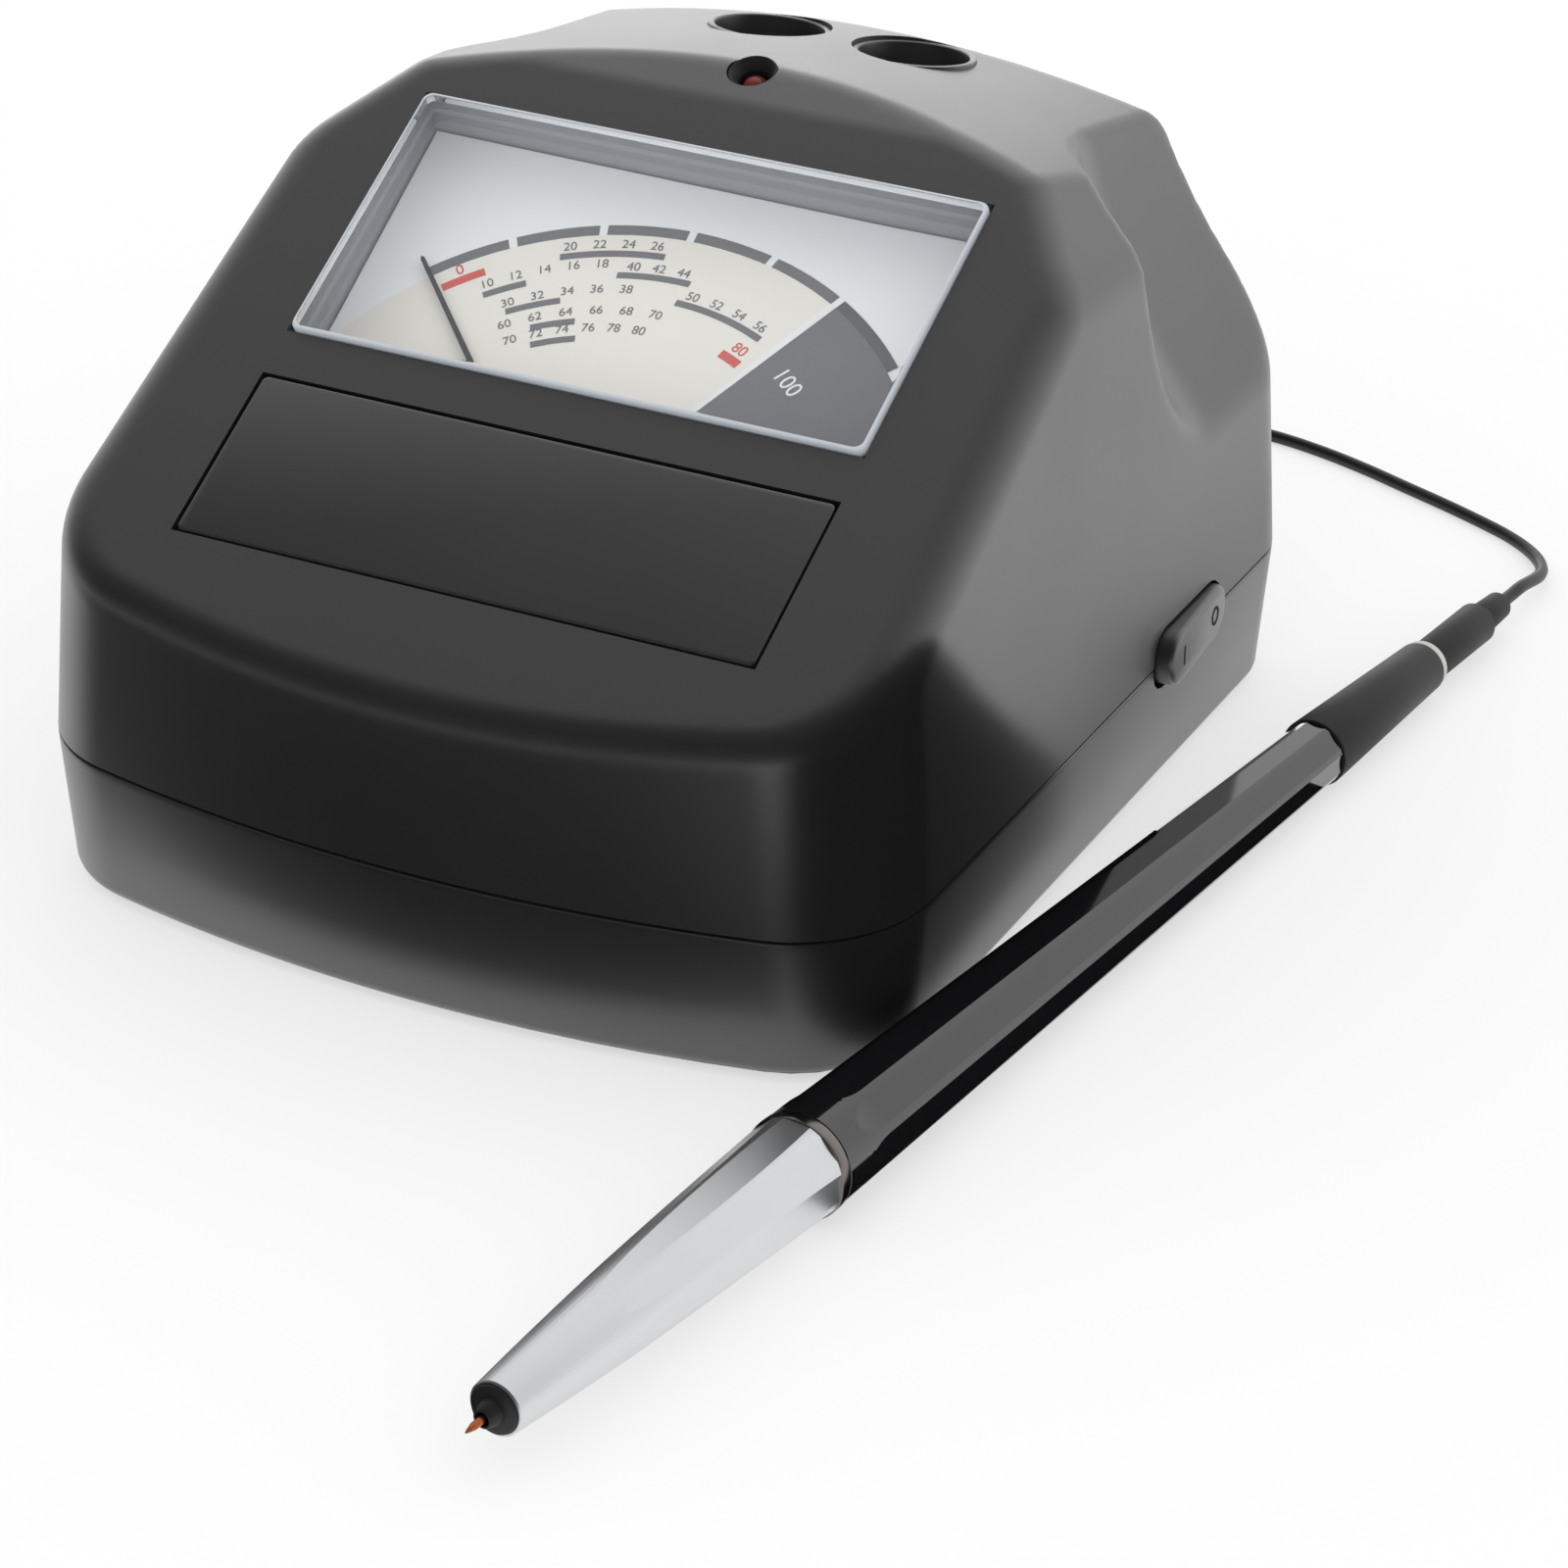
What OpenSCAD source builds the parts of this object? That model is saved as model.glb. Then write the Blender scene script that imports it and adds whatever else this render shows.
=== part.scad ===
// Counter-top gem tester: a wedge-shaped console with a pointer meter, and a probe pen on a thin lead.
// Millimetres. The console's footprint is centred on the origin, and the counter is the plane z = 0.

/* [Case] */
// Width of the case at its parting line
case_w = 99; // [97:0.5:103]
// Depth of the case, from the bow of the front to the back wall
case_d = 115; // [113:0.5:119]
// Height of the parting line above the counter
base_h = 16.8; // [16.4:0.1:19]
// Gap that shows as the parting line
seam = 0.3; // [0.2:0.05:0.5]
// Wall thickness of both shells
wall = 2.2; // [1.8:0.1:2.5]
// Radius of the bowed front in plan
bow_r = 169; // [130:1:220]
// Radius of the front corners in plan
front_corner_r = 15; // [13:0.5:17]
// Radius of the rear corners in plan
rear_corner_r = 10; // [8:0.5:12]
// Radius that softens the upper edges
edge_r = 4.5; // [3.8:0.1:5.2]
// Lean of the side walls above the parting line, in degrees
side_lean = 3.6; // [2.5:0.1:4.5]
// Inward draft of the base, from the parting line to the underside
base_draft = 1.2; // [0.6:0.1:1.6]
// Rounding of the base's lower edge
base_edge_r = 1.5; // [1:0.1:2]
// Height that the non-slip ring stands proud of the underside
foot_h = 0.6; // [0.4:0.1:1]
// Width of the non-slip ring
foot_w = 2; // [1.5:0.1:2.4]

/* [Panel and crown] */
// Slope of the front panel, in degrees
panel_slope = 28; // [26:0.5:30]
// Height at which the panel's plane meets the front of the case
panel_front_h = 34.8; // [34:0.1:36]
// Distance from the front of the case to the lower edge of the nameplate
panel_inset = 12.9; // [12:0.1:14]
// Distance up the panel from the nameplate's foot to the crescent step
crease_up = 67; // [65.5:0.1:68]
// Slope of the crescent step, in degrees
crescent_slope = 18; // [16:0.5:20]
// Rise of the crown above the crescent's lower edge
crown_rise = 1.9; // [1.4:0.1:2.4]
// Fall of the crown toward the back, in degrees
crown_fall = 10.8; // [9:0.1:12]
// Radius of the crown across the case
crown_r = 136; // [120:1:160]
// Radius of the panel's upper corners
top_corner_r = 12; // [9:0.5:14]
// Height at which the back wall starts to lean forward
knee_h = 36; // [33:0.5:39]
// Lean of the upper back wall, in degrees
back_lean = 12.8; // [10:0.1:15]

/* [Scooped shoulders] */
// Radius of each scoop
scoop_r = 71; // [68:0.5:73]
// Distance of a scoop's axis outside the case's side
scoop_out = 52.5; // [51.5:0.5:54.5]
// Height of a scoop's axis
scoop_z = 84; // [82:0.5:86]
// Rounding between a scoop's side and its front end
scoop_end_r = 18; // [14:0.5:20]
// Distance from the back wall to the front end of a scoop
scoop_len = 41; // [38:0.5:43]

/* [Meter] */
// Distance from the clear window to the case's side
win_margin = 16.5; // [16:0.1:18.5]
// Height of the clear window, up the panel
win_h = 33.2; // [31:0.1:34]
// Distance up the panel from the nameplate's foot to the window
win_foot = 26.8; // [26:0.1:28]
// Height that the window stands proud of the panel
win_proud = 0.6; // [0.3:0.1:1]
// Width of the lip that holds the window under the panel
win_lip = 2; // [1.2:0.1:2.2]
// Thickness of that lip
win_flange = 1.2; // [0.8:0.1:1.6]
// Depth of the dial card below the panel's face
dial_depth = 9.6; // [8:0.1:11]
// Thickness of the dial card
card_t = 0.5; // [0.3:0.1:0.8]
// Depth of the meter case below the panel's face
meter_depth = 26; // [25.5:0.1:27]
// Wall thickness of the meter case
meter_wall = 1.5; // [1.2:0.1:1.8]
// Distance up the panel from the nameplate's foot to the pointer's pivot
pivot_up = 16.6; // [16.2:0.1:17.5]
// Length of the pointer from its pivot
pointer_len = 39.6; // [36:0.1:41]
// Angle of the pointer at rest, to the left of upright, in degrees
pointer_rest = 45; // [40:1:48]
// Outer radius of the ring magnet
magnet_r = 13; // [12:0.1:13]
// Inner radius of the ring magnet
magnet_bore_r = 8.2; // [8:0.1:9]
// Radius of the soft iron core
core_r = 5; // [4.5:0.1:5.2]

/* [Nameplate, lamp and wells] */
// Height of the nameplate up the panel
plate_h = 20.7; // [18:0.1:22]
// Distance from the nameplate to the case's side
plate_margin = 16.5; // [15.5:0.5:19.5]
// Thickness of the nameplate
plate_t = 1.2; // [0.8:0.1:1.4]
// Radius of the lamp's holder
lamp_holder_r = 2.7; // [2.4:0.1:3]
// Radius of the lamp
lamp_r = 1.5; // [1.2:0.1:1.7]
// Distance from the crescent's lower edge to the lamp
lamp_up = 5.2; // [4.6:0.1:5.4]
// Inner radius of a test well
well_r = 6; // [5:0.1:6.2]
// Depth of a test well
well_depth = 8; // [6:0.1:9]
// Distance of a test well from the middle line
well_x = 8.7; // [8.5:0.1:10]
// Distance from the back wall to the test wells
well_from_back = 16.6; // [16.2:0.1:18]
// Thickness of a test disc
disc_t = 1.5; // [1:0.1:2]

/* [Switch] */
// Length of the rocker
rocker_len = 17.6; // [15:0.1:19]
// Height of the rocker
rocker_h = 6.2; // [5.5:0.1:7]
// Distance from the back wall to the middle of the rocker
rocker_from_back = 31.6; // [30:0.1:33]
// Height that the rocker stands out of the case
rocker_proud = 1.2; // [0.9:0.1:1.6]
// Tilt of the rocker to each side, in degrees
rocker_tilt = 4; // [3:0.5:5]

/* [Power] */
// Diameter of a battery cell
cell_d = 14.5; // [14:0.1:14.5]
// Length of a battery cell's can
cell_len = 50.5; // [48:0.1:51]
// Number of cells
cells = 4; // [2:1:4]
// Thickness of the battery door
door_t = 1.8; // [1.4:0.1:2]
// Thickness of the circuit board
board_t = 1.6; // [1:0.1:2]

/* [Pen] */
// Length of the nose cone
nose_len = 48.2; // [45:0.1:52]
// Radius of the nose cone at its front
nose_front_r = 2.8; // [2.8:0.05:3]
// Swell of the nose cone's side beyond a straight line, at its middle
nose_swell = 0.36; // [0.3:0.02:0.5]
// Share of the nose cone's length, from its front, where its flats begin
nose_flat_from = 0.33; // [0.25:0.01:0.45]
// Depth of the nose cone's flats at its rear
nose_flat_depth = 0.2; // [0.15:0.01:0.25]
// Radius of the ring behind the nose cone
ring_r = 5.5; // [5.5:0.05:5.8]
// Length of the ring
ring_len = 1.5; // [1:0.1:2.4]
// Length of the barrel
barrel_len = 101; // [94:0.5:108]
// Half of the barrel's width across flats at its front
barrel_front_r = 5.2; // [5.1:0.05:5.2]
// Half of the barrel's width across flats at its rear
barrel_rear_r = 3.5; // [3.4:0.05:3.5]
// Width of the narrow chamfer between two flats, at the front
barrel_chamfer = 1.1; // [1.1:0.1:1.4]
// Length of the round collar at the barrel's front
barrel_collar_len = 3.5; // [2.5:0.1:5]
// Length of the sleeve
sleeve_len = 25; // [23:0.5:28]
// Radius of the sleeve at its front
sleeve_front_r = 3.9; // [3.8:0.05:4.1]
// Radius of the sleeve at its rear
sleeve_rear_r = 2.95; // [2.85:0.05:3.2]
// Length of the neck
neck_len = 12.5; // [11:0.5:16]
// Radius of the neck
neck_r = 2.4; // [2.2:0.05:2.5]
// Length of the end collar
collar_len = 5.5; // [4:0.5:7]
// Radius of the end collar
collar_r = 1.85; // [1.6:0.05:2]
// Length of the probe tip outside the insulator
tip_out = 2.4; // [2:0.1:3.5]
// Inward travel of the probe tip
tip_travel = 1.5; // [1:0.1:2]
// Turn of the barrel about its own axis as it lies, in degrees
pen_roll = 2; // [0:1:44]
// Angle between the pen and the case's sides, in degrees
pen_yaw = 6.5; // [6.5:0.1:8]

/* [Lead] */
// Diameter of the lead
lead_d = 1.5; // [1.5:0.1:1.5]

/* [Hidden] */

// Clearances
fit = 0.25;
seat = 0.1;
running = 0.05;
fine = 64;

// Case outline
front_y = -case_d / 2;
back_y = case_d / 2;
base_top = base_h - seam / 2;
upper_bottom = base_h + seam / 2;
arc_steps = 6;
function half_w(z) = case_w / 2 - (z - base_h) * tan(side_lean);
front_draft = 0.8;
edge_level = 40;
top_level = 66;

// Plan outline of the case, drawn in by inset: bowed front, round corners and straight sides
function corner_centre(hw, y0) =
    [hw - front_corner_r, y0 + bow_r - sqrt(pow(bow_r - front_corner_r, 2) - pow(hw - front_corner_r, 2))];
function bow_angle(hw) = asin((hw - front_corner_r) / (bow_r - front_corner_r));
function toward(a) = [cos(a), sin(a)];
function arc(c, r, a0, a1, n) = [for (k = [0:n]) c + r * toward(a0 + (a1 - a0) * k / n)];
function front_half(hw, y0, inset) =
    concat(arc([0, y0 + bow_r], bow_r - inset, -90, -90 + bow_angle(hw), arc_steps),
        [for (k = [1:arc_steps]) arc(corner_centre(hw, y0), front_corner_r - inset,
            -90 + bow_angle(hw), 0, arc_steps)[k]]);
function rear_half(hw, inset) =
    arc([hw - rear_corner_r, back_y - rear_corner_r], rear_corner_r - inset, 0, 90, arc_steps);
function mirrored(p) = [for (i = [len(p) - 1:-1:0]) if (p[i][0] > 0.01) [-p[i][0], p[i][1]]];
function outline(hw, y0, inset) =
    let (right = concat(front_half(hw, y0, inset), rear_half(hw, inset))) concat(right, mirrored(right));

// Panel, crescent, crown and back as planes and a cylinder, each met by spheres of the edge radius
panel_y = front_y + panel_inset;
panel_foot_z = panel_front_h + panel_inset * tan(panel_slope);
crease_y = panel_y + crease_up * cos(panel_slope);
crown_y = crease_y + 6;
crown_h = panel_foot_z + crease_up * sin(panel_slope) + crown_rise;
function panel_z(y) = panel_foot_z + (y - panel_y) * tan(panel_slope);
function crescent_z(y) = panel_z(crease_y) + (y - crease_y) * tan(crescent_slope);
function crown_z(x, y) = crown_h - (y - crown_y) * tan(crown_fall) - x * x / (2 * crown_r);
function crown_drop(x) = edge_r * sqrt(1 + pow(tan(crown_fall), 2) + pow(x / crown_r, 2));
function panel_drop(y) = panel_z(y) - edge_r / cos(panel_slope);
function meet_y(x, a, slope) =
    (crown_z(x, 0) - crown_drop(x) - a + edge_r / cos(slope)) / (tan(slope) + tan(crown_fall));
function arch_y(x) =
    max(meet_y(x, panel_z(0), panel_slope), meet_y(x, crescent_z(0), crescent_slope));
back_reach = back_y + knee_h * tan(back_lean) - edge_r / cos(back_lean);
function rear_z(x) = (crown_z(x, 0) - crown_drop(x) - tan(crown_fall) * back_reach)
    / (1 - tan(crown_fall) * tan(back_lean));
top_x = half_w(top_level) - edge_r;
top_corner = [half_w(top_level) - top_corner_r, crease_y - 14];
arch_x = top_corner[0];
front_edge = [for (p = front_half(half_w(edge_level), front_y + front_draft, edge_r))
    [p[0], p[1], panel_drop(p[1])]];
corner_edge = [for (p = arc(top_corner, top_corner_r - edge_r, 0, 60, 3)) [p[0], p[1], panel_drop(p[1])]];
arch_edge = [for (k = [0:6]) let (x = arch_x * k / 6, y = arch_y(x)) [x, y, crown_z(x, y) - crown_drop(x)]];
rear_edge = [for (k = [0:4]) let (x = top_x * k / 4, z = rear_z(x)) [x, back_reach - z * tan(back_lean), z]];
upper_edges = concat(front_edge, corner_edge, arch_edge, rear_edge);

// Widths that follow the case
win_w = case_w - 2 * win_margin;
plate_w = case_w - 2 * plate_margin;
scoop_x = case_w / 2 + scoop_out;

// Switch
rocker_y = back_y - rocker_from_back;
rocker_axis_x = case_w / 2 - 4.6;
switch_depth = 6;
switch_x0 = rocker_axis_x - switch_depth;
switch_half_l = 8;
switch_half_h = 4.5;
switch_pin_r = 1;

// Fasteners and posts
post_margin = 8.5;
post_x = case_w / 2 - post_margin;
post_bite = 10;
post_front_in = 21.5;
post_rear_in = 15.5;
post_front = [post_x, front_y + post_front_in];
post_rear = [post_x, back_y - post_rear_in];
case_posts = [for (p = [post_front, post_rear], s = [-1, 1]) [s * p[0], p[1]]];
post_r = 3.2;
screw_r = 1.25;
screw_head_r = 2.5;
screw_hole_r = 1.3;
screw_head_h = 1.8;
case_screw_z = 4.5;
case_screw_top = base_h + post_bite;

// Battery bay, door and board
floor_t = 2.2;
floor_top = foot_h + floor_t;
cell_pitch = cell_d + 0.1;
button_r = 2.6;
contact_half = 5;
bay_w = cells * cell_pitch + 0.6;
bay_l = cell_len + 5.5;
bay_wall = 1.4;
bay_bottom = foot_h + door_t;
cell_z = bay_bottom + seat + cell_d / 2;
bay_top = cell_z + cell_d / 2 + 0.3;
bay_roof = bay_top + 1.2;
board_z = bay_roof + 2.2;
board_gap = 1.9;
board_half = [switch_x0 - board_gap, 26.5];
board_y = 10.5;
board_post_r = 2.8;
board_hole_in = [board_post_r, 4];
board_holes = [for (x = [-1, 1], y = [-1, 1])
    [x * (board_half[0] - board_hole_in[0]), board_y + y * (board_half[1] - board_hole_in[1])]];
board_screw_bite = 7.5;

// Board components, as sizes in width, depth and height
relay = [20, 14, 14];
driver_chip = [12, 7, 3];
sense_chip = [8, 6, 2.4];
lead_plug = [12, 6, 9];
lamp_plug = [6, 4, 2];
cap_r = 2.5;
cap_h = 9;
resistor_r = 1.6;
resistor_h = 5;
door_lip = 2;
door_tab = 5;
door_screw_y = -bay_l / 2 - bay_wall - 3.2;

// Meter levels, measured from the panel's face
flange_top = -wall - seat;
rim_top = flange_top - win_flange;
meter_w = win_w + 2 * win_lip + 2;
meter_foot = pivot_up - magnet_r - meter_wall - seat;
meter_head = win_foot + win_h + win_lip + 0.6;
meter_floor = meter_wall - meter_depth;
card_bottom = -dial_depth - card_t;
card_foot = pivot_up + 3.4;
magnet_top = meter_floor + 12;
core_bottom = meter_floor + 3;
core_h = 7;
coil_bar = 1.2;
coil_gap = 0.3;
coil_bottom = core_bottom - coil_gap - coil_bar;
coil_top = core_bottom + core_h + coil_gap + coil_bar;
coil_half = core_r + 0.9 + coil_bar;
coil_t = 2;
arbor_r = 0.6;
pivot_r = 0.3;
pointer_z = card_bottom + card_t + 0.7;
pointer_t = 0.3;
bridge_bottom = pointer_z + 1.4;
bridge_t = 1.3;
jewel_r = 1.2;
stud_x = 5.5;
spring_z = coil_top + 1.2;
ear_x = meter_w / 2 + 3.4;
ear_ups = [20, 50];
ear_top = -8;
ear_t = 1.5;

// Lamp and wells
lamp_y = crease_y + lamp_up * cos(crescent_slope);
lamp_z = crescent_z(lamp_y);
lamp_holder_len = 5.8;
well_y = back_y - well_from_back;
well_wall = 0.8;
well_z = crown_z(well_x, well_y);

// Pen stations along its axis, from the barrel's front face
nose_back = -ring_len;
nose_front = nose_back - nose_len;
sleeve_at = barrel_len;
sleeve_end = sleeve_at + sleeve_len;
pale_len = 1;
neck_at = sleeve_end + pale_len;
collar_at = neck_at + neck_len;
tail_at = collar_at + collar_len;
rear_share = barrel_rear_r / barrel_front_r;
tenon_r = 4;
tenon_len = 8;
spigot_r = 2.8;
spigot_len = 6;
neck_tenon_r = 1.6;
neck_tenon_len = 10;
lead_r = lead_d / 2;
lead_bore_r = lead_r + running;
insulator_r = 2.2;
insulator_out = 2;
head_r = nose_front_r - 0.3;
head_out = 0.4;
head_in = 1.5;
boss_base_r = 1.4;
boss_r = 1;
insulator_len = 13;
insulator_back = nose_front - insulator_out + insulator_len;
carriage_r = 2.2;
carriage_len = 6;
carriage_front = insulator_back + 0.2;
carriage_back = carriage_front + carriage_len;
spring_len = 7.5;
block_at = carriage_back + spring_len;
block_r = 3;
block_len = 7;
tip_r = 0.7;
tip_point_r = 0.4;

// The pen lies on the counter on its ring and on the front of its sleeve, close beside the case
pen_pitch = asin((ring_r - sleeve_front_r) / sleeve_at);
pen_gap = 0.5;
pen_axis_z = ring_r / cos(pen_pitch) + 0.02;
front_corner = corner_centre(case_w / 2, front_y);
pen_side = front_corner_r + barrel_front_r + pen_gap;
pen_ring_back = 30;
pen_x = front_corner[0] + pen_side * cos(pen_yaw) - pen_ring_back * sin(pen_yaw);
pen_y = front_corner[1] - pen_side * sin(pen_yaw) - pen_ring_back * cos(pen_yaw);

// Lead: from the strain relief on the back wall to a coil on the counter, then round to the pen's tail
relief_x = -18;
relief_z = 9;
relief_len = 14;
relief_r = 3;
relief_flange_r = 4;
relief_flange_t = 1.6;
relief_nut_gap = 1.5;
relief_root_r = 2.6;
relief_end_r = 1.3;
relief_end_y = back_y + relief_len;
coil_turns = 12.25;
coil_layers = 4;
coil_out_r = 11.5;
coil_in_r = 5.5;
coil_step = 2;
coil_centre = [relief_x + coil_out_r, 96.5];
coil_z = 1.65;
coil_rings = 24;
lead_lie = lead_r;
tail = [pen_x + tail_at * cos(pen_pitch) * sin(pen_yaw), pen_y + tail_at * cos(pen_pitch) * cos(pen_yaw),
    pen_axis_z - tail_at * sin(pen_pitch)];
tail_dir = [cos(pen_pitch) * sin(pen_yaw), cos(pen_pitch) * cos(pen_yaw), -sin(pen_pitch)];
from_case_route = [[-18, 71.5, 9], [-18, 74.5, 8.8], [-18, 78, 7.6], [-18, 82, 5.2], [-18, 86, 3.2],
    [-18, 90, 2.1], [-18, 93.5, 1.65], [-18, 96.5, 1.65]];
to_pen_route = [[-6.5, 108, 7.65], [-2.5, 108, 7.5], [2, 108, 6.4], [7, 108, 4.4], [12, 108, 2.4],
    [17, 108.2, 1.2], [22, 108.4, 0.75], [28, 107.8, 0.75], [34, 106.4, 0.75], [40, 104.4, 0.75],
    [46, 102, 0.75], [52, 99.6, 0.75], [57, 97.4, 0.75], [61.4, 95.2, 0.75], [65, 92.4, 0.9],
    [67.6, 88.9, 1.3], [68.9, 84.8, 2]];

// Points on a smooth curve through a list, with some steps between each two
function curve_point(a, b, c, d, t) =
    0.5 * (2 * b + (c - a) * t + (2 * a - 5 * b + 4 * c - d) * t * t + (3 * b - a - 3 * c + d) * t * t * t);
function at_end(p, i) = p[max(0, min(len(p) - 1, i))];
function smooth(p, n) = concat(
    [for (i = [0:len(p) - 2], k = [0:n - 1])
        curve_point(at_end(p, i - 1), p[i], p[i + 1], at_end(p, i + 2), k / n)],
    [p[len(p) - 1]]);

// A tube of some sides along a list of points, closed at both ends
function unit(v) = v / norm(v);
function heading(p, i) = unit(at_end(p, i + 1) - at_end(p, i - 1));
function ring_of(c, t, r, sides) =
    let (s = unit(cross(t, [0, 0, 1])), u = cross(s, t))
    [for (k = [0:sides - 1]) c + r * (s * cos(360 * k / sides) + u * sin(360 * k / sides))];
function tube_faces(n, sides) = concat(
    [[for (k = [0:sides - 1]) k]],
    [for (i = [0:n - 2], k = [0:sides - 1])
        [i * sides + k, (i + 1) * sides + k, (i + 1) * sides + (k + 1) % sides]],
    [for (i = [0:n - 2], k = [0:sides - 1])
        [i * sides + k, (i + 1) * sides + (k + 1) % sides, i * sides + (k + 1) % sides]],
    [[for (k = [sides - 1:-1:0]) (n - 1) * sides + k]]);
module tube_along(p, r, sides, first, last) {
    n = len(p);
    headings = [for (i = [0:n - 1]) i == 0 ? first : i == n - 1 ? last : heading(p, i)];
    polyhedron([for (i = [0:n - 1]) each ring_of(p[i], headings[i], r, sides)], tube_faces(n, sides));
}

// Coil of piled loops: the radius runs in and out layer by layer, and the height steps up at each reversal
layer_turns = coil_turns / coil_layers;
function layer_share(u) = abs((u / layer_turns) % 2 - 1);
function coil_radius(u) = coil_in_r + (coil_out_r - coil_in_r) * layer_share(u);
function ease(t) = t * t * (3 - 2 * t);
function climb(u, k) = ease(max(0, min(1, (u - k * layer_turns) * 2 + 0.5)));
function coil_height(u) = coil_z + coil_step * (climb(u, 1) + climb(u, 2) + climb(u, 3));
function coil_point(u) = [coil_centre[0] + coil_radius(u) * cos(180 - 360 * u),
    coil_centre[1] + coil_radius(u) * sin(180 - 360 * u), coil_height(u)];
coil_path = [for (k = [0:coil_turns * coil_rings]) coil_point(k / coil_rings)];
function near_gap(p, i, from) = min([for (j = [from:len(p) - 1]) norm(p[i] - p[j])]);
half_loop = coil_rings / 2;
coil_last = len(coil_path) - 1 - half_loop;
coil_gap_found = min([for (i = [0:coil_last]) near_gap(coil_path, i, i + half_loop)]) - lead_d;
echo(lead_coil_least_gap = coil_gap_found);
function run_of(p) = [for (i = [1:len(p) - 1]) norm(p[i] - p[i - 1])];
function total(v) = v * [for (i = v) 1];
echo(lead_length = total(run_of(from_case_route)) + total(run_of(coil_path)) + total(run_of(to_pen_route)));

// Frames of the main assemblies
module on_panel() translate([0, panel_y, panel_foot_z]) rotate([panel_slope, 0, 0]) children();
module on_pivot() on_panel() translate([0, pivot_up, 0]) children();
module on_ears() for (s = [-1, 1], u = ear_ups) translate([s * ear_x, u, 0]) children();
module on_crescent() translate([0, lamp_y, lamp_z]) rotate([crescent_slope, 0, 0]) children();
module on_wells()
    for (s = [-1, 1]) translate([s * well_x, well_y, well_z]) rotate([-crown_fall, 0, 0]) children();
module on_pen()
    translate([pen_x, pen_y, pen_axis_z]) rotate([0, 0, -pen_yaw]) rotate([-90 - pen_pitch, 0, 0]) children();
module at_each(points) for (p = points) translate([p[0], p[1], 0]) children();
module rod(r, z0, z1) translate([0, 0, z0]) cylinder(r = r, h = z1 - z0, $fn = fine);
module taper(r0, r1, z0, z1) translate([0, 0, z0]) cylinder(r1 = r0, r2 = r1, h = z1 - z0, $fn = fine);
module block(low, high) translate(low) cube(high - low);
module slab(z, h, points) translate([0, 0, z]) linear_extrude(h) polygon(points);
function plan(inset) = outline(case_w / 2, front_y, inset);
function rear_plan(z, inset) = concat(rear_half(half_w(z), inset), mirrored(rear_half(half_w(z), inset)));

// Upper case before it is scooped, drawn in by inset
module upper_body(inset) {
    hull() {
        slab(upper_bottom, 0.2, outline(half_w(upper_bottom), front_y, inset));
        slab(knee_h - 1, 1, rear_plan(knee_h, inset));
        for (p = upper_edges, s = [-1, 1]) translate([s * p[0], p[1], p[2]]) sphere(edge_r - inset, $fn = 20);
    }
}

// Cutter for the scooped shoulders, thickened by grow
module scoops(grow) {
    front = back_y - scoop_len - grow;
    r = scoop_r + grow;
    end_r = scoop_end_r + grow;
    for (s = [-1, 1]) translate([s * scoop_x, 0, scoop_z]) rotate([-90, 0, 0]) rotate_extrude($fn = 120) {
        translate([0, front + end_r]) square([r, scoop_len]);
        translate([0, front]) square([r - end_r, end_r + 1]);
        translate([r - end_r, front + end_r]) circle(end_r, $fn = fine);
    }
}
module scooped_body(inset) difference() {
    upper_body(inset);
    scoops(inset);
}
module rocker_profile(grow) {
    h = rocker_h / 2;
    for (s = [-1, 1]) translate([s * (rocker_len / 2 - h), 0]) circle(h + grow, $fn = fine);
    square([rocker_len - rocker_h, rocker_h + 2 * grow], center = true);
}
module rocker_frame() translate([rocker_axis_x, rocker_y, base_h]) rotate([90, 0, 90]) children();
module rocker_opening() rocker_frame() translate([0, 0, 1]) linear_extrude(8) rocker_profile(2 * fit);

module upper_shell() color([0.23, 0.23, 0.25]) difference() {
    union() {
        difference() {
            scooped_body(0);
            scooped_body(wall);
        }
        intersection() {
            at_each(case_posts) rod(post_r, base_h, crown_h);
            scooped_body(wall / 2);
        }
        on_panel() on_ears() rod(2.4, ear_top, -wall / 2);
    }
    at_each(case_posts) rod(screw_hole_r, base_h - 1, case_screw_top + 0.5);
    on_panel() {
        block([-win_w / 2 - fit, win_foot - fit, rim_top - 2], [win_w / 2 + fit, win_foot + win_h + fit, 4]);
        block([-plate_w / 2 - fit, -fit, -plate_t], [plate_w / 2 + fit, plate_h + fit, 4]);
        on_ears() rod(screw_hole_r, ear_top - 1, -wall);
    }
    on_crescent() rod(lamp_holder_r + running, -8, 4);
    on_wells() rod(well_r + well_wall + running, -wall - 4, 6);
    rocker_opening();
}

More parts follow.
